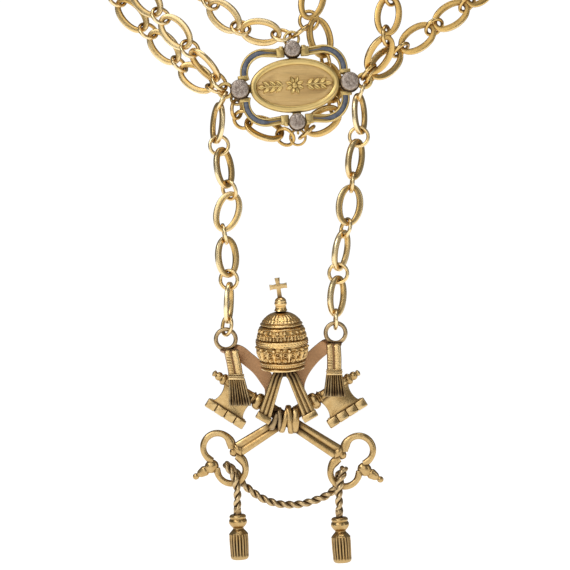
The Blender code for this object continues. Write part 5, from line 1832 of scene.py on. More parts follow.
    def sprigs(self, ground: float) -> list[Matrix]:
        """Return the placing of the leaves of both sprigs.

        Args:
            ground: The depth of the ground.

        Returns:
            The placings.
        """
        places = []
        for side in (-1.0, 1.0):
            for pair in range(self.leaf_pairs):
                for lean in (-1.0, 1.0):
                    heading = lean * math.radians(38.0)
                    turn = heading if side > 0.0 else math.pi - heading
                    start = Vector((side * (4.3 + 2.2 * pair) * MM, ground, lean * 0.15 * MM))
                    places.append(Matrix.Translation(start) @ Matrix.Rotation(-turn, 4, "Y"))
            turn = 0.0 if side > 0.0 else math.pi
            places.append(Matrix.Translation((side * 10.2 * MM, ground, 0.0)) @ Matrix.Rotation(-turn, 4,
                                                                                                "Y"))
        return places

    def build(self) -> list[Object]:
        """Make and place all the pieces of the medallion.

        Returns:
            The new pieces.
        """
        made = {"medallion_frame": (self.frame(), "gilt_bronze"), "plaque": (self.plaque(), "gilt_bronze")}
        corners = {"upper_left": (-1, 1), "upper_right": (1, 1), "lower_left": (-1, -1),
                   "lower_right": (1, -1)}
        for corner, (sign_x, sign_z) in corners.items():
            made["enamel_" + corner] = (self.inlay(sign_x, sign_z), "blue_enamel")
        for name, (x, z, radius) in self.stud_places().items():
            made[name] = (self.stud(x, z, radius), "silver_stud")
        pieces = []
        for name, (mesh, slot) in made.items():
            mesh.transform(self.sizes.placing())
            pieces.append(add_piece(name + "_dressed", mesh, "chain", [name]))
        return pieces


# Pendant: every point below is given from the middle of the swing axis


def hanging() -> Matrix:
    """Return the placing of the pendant's cast parts, set back under the rings."""
    return Matrix.Translation(PIVOT + Y_AXIS * BALANCE_SHIFT)


def ribbon(stations: list[tuple[Vector, float, float]], section: list[tuple[float, float]]) -> Shell:
    """Sweep a strap.

    Args:
        stations: A point, a width and the slope of the width for each station.
        section: Points across, as shares of half the width, and outwards, in metres.

    Returns:
        The strap's shell.
    """
    rings = []
    middle = [point for point, _, _ in stations]
    for index, (point, width, slope) in enumerate(stations):
        tangent = heading(middle, index)
        across = Vector((math.cos(slope), 0.0, math.sin(slope)))
        outward = tangent.cross(across).normalized()
        across = outward.cross(tangent).normalized()
        rings.append([point + across * (width / 2.0 * reach) + outward * rise for reach, rise in section])
    return stack_rings(rings)


@dataclass
class Tiara:
    """The hollow cast tiara: three banded tiers of relief under a ridged cap."""

    palette: Palette
    centre_x: float = 0.8 * MM
    forward: float = -2.2 * MM
    foot: float = -15.6 * MM
    height: float = 21.0 * MM
    radius: float = 9.2 * MM
    lean: float = math.radians(2.0)
    nod: float = math.radians(9.0)
    wall: float = 0.9 * MM
    columns: int = 264
    rows: int = 150
    orb_radius: float = 2.15 * MM
    cross_height: float = 6.6 * MM
    cross_width: float = 6.0 * MM
    cross_bar: float = 1.7 * MM
    cross_depth: float = 1.1 * MM
    cross_lean: float = math.radians(6.0)
    seat_gap: float = 0.3 * MM
    squat: float = 0.945
    fleuron_count: int = 10
    fleuron_radius: float = 8.7
    fleuron_foot: float = 3.2
    leaf_count: int = 20
    leaf_radius: float = 8.2
    leaf_foot: float = 11.1

    def placing(self) -> Matrix:
        """Return the placing of the tiara's axis."""
        place = Matrix.Translation(PIVOT + Vector((self.centre_x, self.forward + BALANCE_SHIFT, self.foot)))
        return place @ Matrix.Rotation(-self.lean, 4, "Y") @ Matrix.Rotation(self.nod, 4, "X")

    def smooth_radius(self, height: np.ndarray) -> np.ndarray:
        """Return the radius without relief at heights given in millimetres.

        Args:
            height: Heights in millimetres.

        Returns:
            Radii in millimetres.
        """
        heights = [0.0, 0.5, 1.1, 2.0, 3.0, 4.0, 6.0, 8.0, 9.2, 10.6, 11.6, 13.0, 14.6, 15.6, 16.6, 17.6,
                   18.4, 19.4, 20.2, 20.7, 21.0]
        radii = [7.3, 7.15, 7.2, 7.4, 7.65, 8.05, 8.6, 8.85, 8.7, 8.75, 8.45, 8.2, 7.75, 7.2, 6.95, 6.4,
                 5.85, 4.9, 3.7, 2.6, 1.5]
        return np.interp(height, heights, radii)

    def fleurons(self, turn: np.ndarray, height: np.ndarray) -> np.ndarray:
        """Return the relief of the lower tier: leaves with a pearl above and scrolls at their sides.

        Args:
            turn: Turns about the axis.
            height: Heights in millimetres.

        Returns:
            The relief in millimetres.
        """
        pitch = math.tau / self.fleuron_count
        across = ((turn / pitch + 0.5) % 1.0 - 0.5) * (pitch * self.fleuron_radius)
        up = height - self.fleuron_foot
        aside = np.abs(across)
        leaf = np.exp(-(across / (0.5 + 0.12 * np.sin(up * 3.2))) ** 2) * np.exp(-((up - 2.3) / 2.3) ** 4)
        scroll = np.hypot(aside - 1.35, up - 3.3)
        scrolls = np.exp(-((scroll - 0.85) / 0.3) ** 2)
        eye = np.exp(-(scroll / 0.36) ** 2)
        volute = np.hypot(aside - 1.55, up - 0.95)
        volutes = np.exp(-((volute - 0.62) / 0.26) ** 2) + 0.8 * np.exp(-(volute / 0.28) ** 2)
        pearl = 1.15 * np.clip(1.0 - (np.hypot(across, up - 4.75) / 0.72) ** 2, 0.0, 1.0) ** 0.5
        between = np.hypot(aside - 2.73, up - 4.9)
        small = 0.8 * np.clip(1.0 - (between / 0.5) ** 2, 0.0, 1.0) ** 0.5
        dart = 0.8 * np.exp(-((aside - 2.73) / 0.3) ** 2) * np.exp(-((up - 2.6) / 1.5) ** 4)
        shape = np.maximum.reduce([leaf, scrolls * 0.85, eye * 0.7, volutes * 0.75, pearl, small, dart])
        inside = np.clip((up + 0.1) / 0.3, 0.0, 1.0) * np.clip((5.75 - up) / 0.3, 0.0, 1.0)
        return inside * (shape * 0.85 - 0.42)

    def leaves(self, turn: np.ndarray, height: np.ndarray) -> np.ndarray:
        """Return the relief of the upper tier: pearls over small pointed leaves.

        Args:
            turn: Turns about the axis.
            height: Heights in millimetres.

        Returns:
            The relief in millimetres.
        """
        pitch = math.tau / self.leaf_count
        across = ((turn / pitch) % 1.0 - 0.5) * (pitch * self.leaf_radius)
        up = height - self.leaf_foot
        aside = np.abs(across)
        pearl = 1.1 * np.clip(1.0 - (np.hypot(across, up - 3.2) / 0.7) ** 2, 0.0, 1.0) ** 0.5
        leaf = np.exp(-(across / 0.34) ** 2) * np.exp(-((up - 1.3) / 1.15) ** 4)
        wing = np.hypot(aside - 0.75, up - 1.5)
        wings = np.exp(-((wing - 0.5) / 0.2) ** 2)
        foot = np.exp(-((aside - 1.2) / 0.25) ** 2) * np.exp(-((up - 0.7) / 0.6) ** 4)
        shape = np.maximum.reduce([pearl, leaf, wings * 0.8, foot * 0.8])
        inside = np.clip((up + 0.1) / 0.25, 0.0, 1.0) * np.clip((4.05 - up) / 0.25, 0.0, 1.0)
        return inside * (shape * 0.72 - 0.36)

    def relief(self, turn: np.ndarray, height: np.ndarray) -> np.ndarray:
        """Return the whole relief in millimetres over the smooth wall.

        Args:
            turn: Turns about the axis.
            height: Heights in millimetres.

        Returns:
            The relief in millimetres.
        """
        rise = self.fleurons(turn, height) + self.leaves(turn, height)
        for place, width, lift in ((0.45, 0.5, 0.5), (2.65, 0.42, 0.5), (9.25, 0.3, 0.38),
                                   (10.85, 0.3, 0.38),
                                   (15.35, 0.42, 0.42), (16.7, 0.45, 0.45), (17.75, 0.34, 0.3),
                                   (18.6, 0.26, 0.22)):
            rise += lift * np.exp(-((height - place) / width) ** 2)
        for place, width, depth in ((1.0, 0.18, 0.3), (3.15, 0.16, 0.3), (11.25, 0.16, 0.28),
                                    (16.0, 0.2, 0.42), (17.25, 0.16, 0.25), (8.85, 0.16, 0.25)):
            rise -= depth * np.exp(-((height - place) / width) ** 2)
        beads = np.exp(-((height - 1.65) / 0.38) ** 2) * (0.22 + 0.3 * np.abs(np.cos(turn * 27.0)))
        cord = np.exp(-((height - 10.05) / 0.5) ** 2) * (0.2 + 0.26
                                                         * np.abs(np.cos(turn * 24.0 + height * 3.4)))
        ridges = np.clip((height - 18.7) / 0.3, 0.0, 1.0) * np.clip((20.6 - height) / 0.4, 0.0, 1.0)
        ridges = ridges * 0.2 * np.abs(np.cos(turn * 13.0))
        tier = np.exp(-((height - 18.15) / 0.5) ** 4) * 0.12 * np.cos(turn * 30.0)
        return rise + beads + cord + ridges + tier

    def wall_mesh(self) -> Mesh:
        """Return the tiara's wall, relief outside and plain inside.

        Returns:
            The mesh.
        """
        turns = math.tau * np.arange(self.columns) / self.columns - math.pi / 2.0
        heights = np.linspace(0.0, 21.0, self.rows)
        grid_turn, grid_height = np.meshgrid(turns, heights)
        drift = np.array([[noise.noise(Vector((math.cos(turn) * 3.0, math.sin(turn) * 3.0, height * 0.5)))
                           for turn in turns[::6]] for height in heights[::3]])
        drift = np.repeat(np.repeat(drift, 6, axis=1), 3, axis=0)[:self.rows, :self.columns]
        radius = self.smooth_radius(grid_height) + self.relief(grid_turn + 0.03, grid_height + 0.12 * drift)
        rings = []
        for reaches, height in zip(radius, heights):
            rings.append([Vector((reach * math.cos(turn), reach * math.sin(turn), height)) * MM
                          for reach, turn in zip(reaches, turns)])
        inner = [(0.08, 0.945), (0.3, 0.925), (0.49, 0.90), (0.69, 0.80), (0.78, 0.68), (0.82, 0.55),
                 (0.84, 0.30), (0.82, 0.14), (0.80, 0.03), (0.815, 0.0)]
        inside = []
        for share, rise in inner:
            reach = share * (self.radius - self.wall)
            inside.append([Vector((reach * math.cos(turn), reach * math.sin(turn), rise * self.height))
                           for turn in turns])
        cap = [Vector((TIP * math.cos(turn), TIP * math.sin(turn), self.height)) for turn in turns]
        mesh = finished(mesh_of("wall", [stack_rings(inside + rings + [cap])]), self.palette[Gilt.CAST])
        top = Matrix.Translation((0.0, 0.0, self.height))
        mesh.transform(top @ Matrix.Diagonal((1.0, 1.0, self.squat, 1.0)) @ top.inverted())
        # A block inside the foot, tinted dark as painted shade under the tiara.
        bridge = soft_block((0.55 * MM, -0.7 * MM, 0.5 * MM), (6.4 * MM, 2.8 * MM, 4.4 * MM), 0.5 * MM)
        dark = finished(mesh_of("bridge", [bridge]), self.palette[Gilt.TARNISHED])
        return joined("tiara", [mesh, with_tarnish_and_shade(dark, lambda place: 0.7)])

    def orb_and_cross(self) -> Mesh:
        """Return the orb on its neck, and the flat cross that leans on top.

        Returns:
            The mesh.
        """
        base = self.height + self.seat_gap
        radius = self.orb_radius
        centre = base + 0.6 * MM + radius
        profile = [(0.0, base), (2.1 * MM, base), (2.2 * MM, base + 0.3 * MM),
                   (1.95 * MM, base + 0.75 * MM)]
        for step in range(19):
            turn = math.radians(-30.0 + 120.0 * step / 18.0)
            groove = 0.16 * MM * math.exp(-((math.degrees(turn) - 12.0) / 7.0) ** 2)
            profile.append(((radius - groove) * math.cos(turn),
                            centre + (radius - groove) * math.sin(turn)))
        orb = finished(mesh_of("orb", [spun(profile, 40, parts=2)]), self.palette[Gilt.CAST])
        half = self.cross_bar / 2.0
        foot = radius * 0.85
        top = radius + self.cross_height
        arm = foot + self.cross_height * 0.6
        wing = self.cross_width / 2.0
        outline = [
            (-half * 0.95, foot), (half * 0.95, foot), (half * 0.85, (foot + arm) / 2.0),
            (half * 0.82, arm - half),
            (wing * 0.6, arm - half * 0.85), (wing, arm - half * 1.1), (wing, arm + half * 1.1),
            (wing * 0.6, arm + half * 0.85), (half * 0.8, arm + half), (half * 0.85, (arm + top) / 2.0),
            (half * 1.05, top), (-half * 1.05, top), (-half * 0.85, (arm + top) / 2.0),
            (-half * 0.8, arm + half),
            (-wing * 0.6, arm + half * 0.85), (-wing, arm + half * 1.1), (-wing, arm - half * 1.1),
            (-wing * 0.6, arm - half * 0.85), (-half * 0.82, arm - half),
            (-half * 0.85, (foot + arm) / 2.0),
        ]
        cross = plate_shell(outline, self.cross_depth, 0.12 * MM)
        cross = moved(cross, Matrix.Translation((0.0, 0.0, centre)) @ Matrix.Rotation(-self.cross_lean, 4,
                                                                                      "Y"))
        return joined("orb_and_cross", [orb, finished(mesh_of("cross", [cross]), self.palette[Gilt.KEYS])])

    def build(self) -> list[Object]:
        """Make and place the tiara and its cross.

        Returns:
            The new pieces.
        """
        wall = self.wall_mesh()
        top = self.orb_and_cross()
        for mesh in (wall, top):
            mesh.transform(self.placing())
        return [add_piece("tiara_cast", wall, "pendant", ["tiara"]),
                add_piece("tiara_cross_cast", top, "pendant", ["tiara_cross"])]


@dataclass
class Stay:
    """A ribbed stay from inside the tiara to the crossing, with a block at its foot."""

    name: str
    palette: Palette
    path: list[tuple[float, float]]
    foot: tuple[float, float]
    slope: float
    width_top: float = 3.5 * MM
    width_foot: float = 4.7 * MM
    depth: float = 1.9 * MM
    place: float = -4.7 * MM
    block: float = 2.4 * MM

    def build(self) -> Object:
        """Make and place the stay.

        Returns:
            The new piece.
        """
        ribs = []
        for rib in range(3):
            middle = (rib - 1.0) * 2.0 / 3.0
            for step in range(1, 8):
                turn = math.pi * (1.0 - step / 8.0)
                ribs.append((middle + 0.34 * math.cos(turn), -0.16 - 0.38 * math.sin(turn) ** 0.8))
        section = [(-1.0, 0.42), (-1.0, -0.05)] + ribs + [(1.0, -0.05), (1.0, 0.42), (0.9, 0.5),
                                                          (-0.9, 0.5)]
        points = even_route([Vector((x * MM, self.place, z * MM)) for x, z in self.path], 0.55 * MM)
        rings = []
        for index, point in enumerate(points):
            across = heading(points, index).cross(Y_AXIS)
            share = max(0.0, (index / (len(points) - 1) - 0.45) / 0.55)
            width = self.width_top + (self.width_foot - self.width_top) * share
            rings.append([point - across * (width / 2.0 * reach) + Y_AXIS * (self.depth * rise)
                          for reach, rise in section])
        back = -KEY_OFFSET - SHAFT_DEPTH / 2.0 - 0.45 * MM
        front = self.place - self.depth / 2.0 - 0.3 * MM
        slab = soft_block((0.0, (front + back) / 2.0, 0.0),
                          (self.width_foot * 1.15, back - front, self.block), 0.3 * MM)
        x, z = self.foot
        placing = Matrix.Translation((x * MM, 0.0, z * MM)) @ Matrix.Rotation(-self.slope, 4, "Y")
        mesh = finished(mesh_of(self.name, [stack_rings(rings), moved(slab, placing)]),
                        self.palette[Gilt.KEYS])
        # Darker towards the top, as painted shade under the tiara.
        with_tarnish_and_shade(mesh, lambda place: 0.1 + 0.75 * min(1.0, max(0.0, (place.z / MM + 21.5) / 5.0)))
        mesh.transform(hanging())
        return add_piece(self.name + "_cast", mesh, "pendant", [self.name])


@dataclass
class Key:
    """A cast key: reeded shaft, bulbs, bit with four wards, and an open heart-shaped bow."""

    name: str
    side: float
    depth: float
    palette: Palette
    slope: float = math.radians(32.6)
    shaft_width: float = 4.7 * MM
    bow_reach: float = 25.7 * MM
    bow_spread: float = 4.4 * MM
    bow_radius: float = 4.85 * MM
    bow_band: float = 2.35 * MM
    bow_start: float = math.radians(-38.0)
    bit_centre: float = 18.9 * MM
    bit_length: float = 15.4 * MM
    bit_drop: float = 9.7 * MM
    ward_height: float = 3.2 * MM
    ward_depth: float = 3.0 * MM
    plate_depth: float = 1.9 * MM
    bow_neck: float = 6.2 * MM
    bow_tip: float = 6.5 * MM
    shaft_steps: int = 24
    wrap_steps: int = 40

    def near(self) -> float:
        """Return how far along the key its bit begins."""
        return self.bit_centre - self.bit_length / 2.0

    def neck(self) -> float:
        """Return how far behind the crossing the shaft ends."""
        return self.bow_reach - self.bow_neck

    def placing(self) -> Matrix:
        """Return the placing of the key in the pendant.

        Returns:
            The placing.
        """
        cosine, sine = math.cos(self.slope), math.sin(self.slope)
        along = Vector((self.side * cosine, 0.0, sine))
        above = Vector((-self.side * sine, 0.0, cosine))
        basis = Matrix((along, Y_AXIS, above)).transposed().to_4x4()
        return Matrix.Translation((CROSSING.x, self.depth, CROSSING.z)) @ basis

    def bar(self, profile: list[tuple[float, float]], sides: int = 28, flatness: float = 0.66) -> Shell:
        """Return a turned bar along the key from pairs of place and radius."""
        upright = spun([(radius * MM, place) for place, radius in profile], sides, flatness, 4)
        return moved(upright, Matrix.Rotation(math.pi / 2.0, 4, "Y"))

    def shaft(self, start: float, end: float) -> Shell:
        """Return the shaft with two rounded reeds in front and behind.

        Args:
            start: Where the shaft starts along the key.
            end: Where it ends.

        Returns:
            The shell.
        """
        rings = []
        for step in range(self.shaft_steps + 1):
            share = step / self.shaft_steps
            place = start + (end - start) * share
            swell = 1.1 - 0.16 * min(1.0, share * 2.0)
            ring = []
            for sign in (-1.0, 1.0):
                for reed in (-0.5, 0.5):
                    for part in range(1, 10):
                        turn = math.pi * part / 10.0
                        across = -reed * sign + 0.52 * math.cos(turn)
                        rise = 0.48 + 0.52 * math.sin(turn) ** 0.9
                        ring.append(Vector((place, sign * SHAFT_DEPTH / 2.0 * rise,
                                            sign * self.shaft_width / 2.0 * across * swell)))
            rings.append(self.sort_round(ring))
        return stack_rings(rings)

    def sort_round(self, ring: list[Vector]) -> list[Vector]:
        """Return a section's points in order round the shaft."""
        return sorted(ring, key=lambda point: math.atan2(point.y, point.z))

    def bow(self, sign: float) -> Shell:
        """Return one lobe of the bow, thicker in the middle of its sweep.

        Args:
            sign: The lobe's side, above or below.

        Returns:
            The shell.
        """
        path = []
        scales = []
        steps = 44
        for step in range(steps + 1):
            share = step / steps
            turn = self.bow_start + (math.pi - 2.0 * self.bow_start) * share
            radius = self.bow_radius * (1.0 + 0.05 * math.sin(math.pi * share))
            path.append(Vector((-self.bow_reach + radius * math.cos(turn), 0.0,
                                sign * (self.bow_spread + radius * math.sin(turn)))))
            swell = 0.5 * math.exp(-((share - 0.1) / 0.1) ** 2) + 0.16 * math.exp(-((share - 0.93)
                                                                                    / 0.06) ** 2)
            scales.append(0.84 + 0.16 * math.sin(math.pi * share) + swell)
        return path_shell(path, rounded_section(self.bow_band, 2.2 * MM, 16, 2.6), scales)

    def shells(self) -> list[Shell]:
        """Return the parts of the key in its own frame, the bit towards +X.

        Returns:
            The shells.
        """
        near = self.near()
        far = near + self.bit_length
        tip = self.bow_reach + self.bow_tip
        turned = [
            [(near, [(-4.6, 1.7), (-3.1, 2.0), (-2.3, 2.75), (-1.6, 1.85), (-0.7, 2.85), (0.6, 3.0),
                     (1.5, 2.6), (2.0, 1.85), (2.9, 2.4), (3.9, 1.8)]),
             (far, [(-2.6, 1.75), (-1.9, 1.55), (-1.3, 1.95), (-0.4, 1.95), (0.3, 1.3), (1.0, 1.55),
                    (1.9, 1.35), (2.4, 0.85), (2.9, 1.1), (3.4, 1.0), (3.8, 0.0)])],
            [(-self.neck(), [(0.9, 1.7), (0.2, 2.4), (-0.6, 2.65), (-1.3, 2.3), (-1.9, 1.55), (-2.8, 1.5),
                             (-3.5, 0.9), (-3.9, 0.0)])],
            [(-tip, [(-6.5, 0.0), (-6.2, 0.7), (-5.6, 1.1), (-4.9, 1.1), (-4.4, 0.8), (-3.8, 1.3),
                     (-2.6, 1.65),
                     (-1.5, 1.85), (-0.8, 1.5), (-0.1, 2.0), (1.0, 2.3), (2.2, 2.1), (3.3, 1.4),
                     (3.8, 0.0)])],
        ]
        shells = [self.bar([(base + place * MM, radius) for base, rows in runs for place, radius in rows])
                  for runs in turned]
        shells += [self.bow(1.0), self.bow(-1.0), self.plate(near, far)]
        backing = (self.bit_length - 1.6 * MM, self.plate_depth * 0.9, self.ward_height * 0.6)
        shells.append(soft_block((self.bit_centre, 0.0, -self.bit_drop + self.ward_height * 0.3), backing,
                                 0.2 * MM))
        pitch = self.bit_length / 4.0
        for number in range(4):
            middle = near + pitch * (number + 0.5)
            size = (pitch, self.ward_depth, self.ward_height)
            shells.append(soft_block((middle, 0.0, -self.bit_drop), size, 0.42 * MM))
        return shells

    def plate(self, near: float, far: float) -> Shell:
        """Return the bit's plate, waisted by a round notch on each side.

        Args:
            near: Where the bit begins.
            far: Where it ends.

        Returns:
            The shell.
        """
        foot = -self.bit_drop + self.ward_height / 2.0 - 0.2 * MM
        top = -0.8 * MM
        middle = (foot + top) / 2.0
        half = (top - foot) / 2.0
        outline = []
        for edge, inward in ((near, 1.0), (far, -1.0)):
            bend = []
            for step in range(15):
                turn = math.pi * step / 14.0
                bend.append((edge + inward * (0.5 * MM + 2.1 * MM * math.sin(turn) ** 0.8),
                             middle + half * math.cos(turn)))
            outline += bend if inward > 0.0 else bend[::-1]
        points = [Vector((x, 0.0, z)) for x, z in outline]
        half_depth = self.plate_depth / 2.0
        rings = []
        for depth, shrink in ((-half_depth, 0.3), (-half_depth + 0.1 * MM, 0.08),
                              (-half_depth + 0.3 * MM, 0.0),
                              (half_depth - 0.3 * MM, 0.0), (half_depth - 0.1 * MM, 0.08),
                              (half_depth, 0.3)):
            centre = Vector(((near + far) / 2.0, 0.0, middle))
            ring = []
            for point in points:
                lean = centre - point
                ring.append(point + Vector((math.copysign(shrink * MM, lean.x), depth, 0.0)))
            rings.append(ring)
        return stack_rings(rings)

    def knot(self) -> list[Shell]:
        """Return the five uneven wraps of the knot over the crossing.

        Returns:
            The shells.
        """
        wraps = []
        base = -KEY_OFFSET - SHAFT_DEPTH / 2.0
        for offset, wire, lean, height in ((-3.9, 1.0, 0.42, 0.78), (-2.3, 0.85, -0.06, 0.92),
                                           (-0.5, 0.95, 0.26, 1.0),
                                           (1.1, 1.0, -0.1, 1.08), (3.2, 1.25, 0.06, 1.02)):
            half = 4.7 * MM * height
            path = []
            for step in range(self.wrap_steps):
                turn = math.tau * step / self.wrap_steps
                rise = math.copysign(abs(math.cos(turn)) ** 0.8, math.cos(turn)) * (half - 0.6 * MM)
                deep = base + 1.3 * MM - (1.7 + 0.35 * wire) * MM * math.sin(turn)
                path.append(Vector((CROSSING.x + offset * MM + rise * lean, deep, CROSSING.z + rise)))
            rings = []
            for index, point in enumerate(path):
                along = (path[(index + 1) % self.wrap_steps] - path[index - 1]).normalized()
                out = along.cross(X_AXIS).normalized()
                side = out.cross(along).normalized()
                ring = []
                for across, rise in rounded_section(wire * 2.05 * MM, 1.25 * MM, 14, 2.4):
                    ring.append(point + side * across + out * rise)
                rings.append(ring)
            wraps.append(stack_rings(rings, closed=True))
        return wraps

    def build(self) -> Object:
        """Make and place the key, with the knot on the front one.

        Returns:
            The new piece.
        """
        shells = [self.shaft(-self.neck(), self.near() - 2.6 * MM)] + self.shells()
        placed = [moved(shell, self.placing()) for shell in shells]
        meshes = [finished(mesh_of(self.name, placed), self.palette[Gilt.KEYS])]
        with_tarnish_and_shade(meshes[0], lambda place: 0.55
               * math.exp(-((place.xz - CROSSING.xz).length / (7.5 * MM)) ** 4))
        if self.side < 0.0:
            wraps = self.knot()
            dark = finished(mesh_of("dark_wraps", wraps[:2]), self.palette[Gilt.TARNISHED])
            meshes.append(with_tarnish_and_shade(dark, lambda place: 0.35))
            meshes.append(finished(mesh_of("knot", wraps[2:]), self.palette[Gilt.KEYS]))
        mesh = joined(self.name, meshes)
        mesh.transform(hanging())
        return add_piece(self.name + "_cast", mesh, "pendant", [self.name])


@dataclass
class Lappet:
    """A strap that climbs behind the tiara, folds over and ends in front in a fringe."""

    name: str
    side: float
    palette: Palette
    repeat: RepeatTree
    back: list[tuple[float, float, float]]
    hang: list[tuple[float, float]]
    collar: tuple[float, float]
    fringe: tuple[tuple[float, float], tuple[float, float]]
    seed: int
    strap_width: float = 5.0 * MM
    strap_thickness: float = 0.9 * MM
    strap_back: float = 4.7 * MM
    hang_front: float = -4.7 * MM
    hanger_radius: float = 3.45 * MM
    hanger_wire: float = 1.5 * MM
    fringe_width: float = 5.9 * MM
    fringe_depth: float = 1.9 * MM
    fringe_flare: float = 1.42
    thread_count: int = 8

    def stations(self) -> list[tuple[Vector, float, float]]:
        """Return the stations of the strap, up behind, over the fold and down in front.

        Returns:
            A point, a width and a slope for each.
        """
        stations = []
        back = [(x * MM, z * MM, narrowing) for x, z, narrowing in self.back]
        for index, (x, z, narrowing) in enumerate(back):
            ahead = back[min(index + 1, len(back) - 1)]
            behind = back[max(index - 1, 0)]
            slope = math.atan2(ahead[1] - behind[1], ahead[0] - behind[0]) - math.pi / 2.0
            stations.append((Vector((x, self.strap_back, z)), self.strap_width * narrowing, slope))
        slope = stations[-1][2]
        start = stations[-1][0]
        width = self.strap_width
        top_x = self.side * HANGER_SPREAD / 2.0
        top_z = self.side * HANGER_RISE / 2.0 - 2.0 * self.hanger_radius - self.strap_thickness * 0.4
        first_x, first_z = (value * MM for value in self.hang[0])
        middle = (self.strap_back + self.hang_front) / 2.0
        stations.append((Vector(((start.x + top_x) / 2.0, self.strap_back * 0.86,
                                 (start.z + top_z * 3.0) / 4.0)),
                         width, slope * 0.62))
        stations.append((Vector((top_x - self.side * 0.7 * MM, self.strap_back * 0.45, top_z)), width,
                         slope * 0.3))
        stations.append((Vector((top_x - self.side * 0.4 * MM, middle, top_z + 0.1 * MM)), width,
                         slope * 0.1))
        stations.append((Vector(((top_x + first_x) / 2.0, self.hang_front * 0.5, top_z)), width, 0.0))
        stations.append((Vector((first_x, self.hang_front * 0.9, (top_z + first_z) / 2.0 + 0.2 * MM)),
                         width, 0.0))
        for x, z in self.hang:
            stations.append((Vector((x * MM, self.hang_front, z * MM)), width, 0.0))
        return stations

    def strap(self) -> list[Mesh]:
        """Return the plain strap behind and the two flat ribs of the hanging part.

        Returns:
            The strap's mesh and the ribs' mesh.
        """
        stations = self.stations()
        values = [(*point, width, slope) for point, width, slope in stations]
        fine = [(Vector(spot), width, slope) for *spot, width, slope in eased(values, 6)]
        half = self.strap_thickness / 2.0
        section = [(-1.0, -half * 0.4), (-0.95, -half), (0.0, -half * 0.9), (0.95, -half),
                   (1.0, -half * 0.4),
                   (1.0, half * 0.5), (0.93, half), (0.0, half * 1.05), (-0.93, half), (-1.0, half * 0.5)]
        plain = finished(mesh_of("strap", [ribbon(fine, section)]), self.palette[Gilt.STRAP])
        ribs = []
        for offset, width in ((-0.27, 0.38), (0.24, 0.46)):
            shift = Vector((offset * self.strap_width, -half * 0.9, 0.0))
            rib = [(Vector(spot) + shift, self.strap_width * width, slope) for *spot, _,
                   slope in eased(values[-5:], 8)]
            raised = [(1.0, -half), (1.0, half * 0.5), (0.8, half * 0.95), (0.3, half * 1.1),
                      (-0.3, half * 1.1), (-0.8, half * 0.95), (-1.0, half * 0.5), (-1.0, -half)]
            ribs.append(ribbon(rib, raised))
        return [plain, finished(mesh_of("ribs", ribs), self.palette[Gilt.CAST])]

    def notches(self) -> Mesh:
        """Return the row of fine bars across the outer rib.

        Returns:
            The mesh.
        """
        (top_x, top_z), (foot_x, foot_z) = self.hang[0], self.hang[-1]
        places = []
        for step in range(9):
            share = step / 8.0
            spot = Vector(((top_x + (foot_x - top_x) * share) * MM - 0.27 * self.strap_width,
                           self.hang_front - self.strap_thickness * 0.95,
                           (top_z + (foot_z - top_z) * share) * MM))
            places.append(Matrix.Translation(spot))
        motif = mesh_of("bar", [soft_block((0.0, 0.0, 0.0), (1.6 * MM, 0.3 * MM, 0.42 * MM), 0.1 * MM)])
        return self.repeat.run(motif, places, self.palette[Gilt.CAST])

    def collar_rings(self) -> Mesh:
        """Return the two thin lines and the band between strap and fringe.

        Returns:
            The mesh.
        """
        x, z = (value * MM for value in self.collar)
        width = self.strap_width * 1.12
        shells = []
        for lift, height, grow in ((0.75, 0.45, 1.0), (0.1, 0.5, 1.03), (-0.6, 0.75, 0.97)):
            size = (width * grow, self.fringe_depth * (1.0 + 0.12 * grow), height * MM)
            shells.append(soft_block((x, self.hang_front - 0.1 * MM, z + lift * MM), size, 0.2 * MM))
        core = (width * 0.94, self.fringe_depth * 1.02, 1.9 * MM)
        shells.append(soft_block((x, self.hang_front - 0.1 * MM, z), core, 0.15 * MM))
        return finished(mesh_of("collar", shells), self.palette[Gilt.CAST])

    def threads(self) -> Mesh:
        """Return the fringe: threads side by side round a solid core, wider at the foot.

        Returns:
            The mesh.
        """
        (top_x, top_z), (foot_x, foot_z) = self.fringe
        draw = random.Random(self.seed)
        length = (top_z - foot_z) * MM
        motif = self.thread(length)
        places = []
        tones = []
        for face in (-1.0, 1.0):
            for number in range(self.thread_count):
                share = (number + 0.5) / self.thread_count * 2.0 - 1.0
                start = Vector((top_x * MM + share * self.fringe_width / 2.0 * 0.92,
                                self.hang_front + face * self.fringe_depth * 0.3, top_z * MM + 0.3 * MM))
                end = Vector((foot_x * MM + share * self.fringe_width / 2.0 * self.fringe_flare * 0.95,
                              self.hang_front + face * self.fringe_depth * 0.36, foot_z * MM))
                end += Vector((draw.uniform(-0.1, 0.1), draw.uniform(-0.08, 0.08),
                               draw.uniform(0.0, 0.45))) * MM
                down = (end - start).normalized()
                side = down.cross(Y_AXIS).normalized()
                basis = Matrix((side, side.cross(down), down * -1.0)).transposed().to_4x4()
                places.append(Matrix.Translation(start) @ basis)
                tones.append(draw.uniform(-0.3, 0.15))
        mesh = self.repeat.run(motif, places, self.palette[Gilt.CAST], tones)
        rings = []
        for share, flare in ((0.0, 0.9), (0.5, 1.0), (0.97, self.fringe_flare * 0.92)):
            x = (top_x + (foot_x - top_x) * share) * MM
            z = (top_z + (foot_z - top_z) * share) * MM
            half = self.fringe_width / 2.0 * flare * 0.96
            deep = self.fringe_depth * 0.3
            rings.append([Vector((x + across * half, self.hang_front + rise * deep, z))
                          for across, rise in ((-1, -0.6), (-0.8, -1), (0.8, -1), (1, -0.6), (1, 0.6),
                                               (0.8, 1), (-0.8, 1), (-1, 0.6))])
        core = finished(mesh_of("core", [stack_rings(rings)]), self.palette[Gilt.TARNISHED])
        return joined("fringe", [mesh, core])

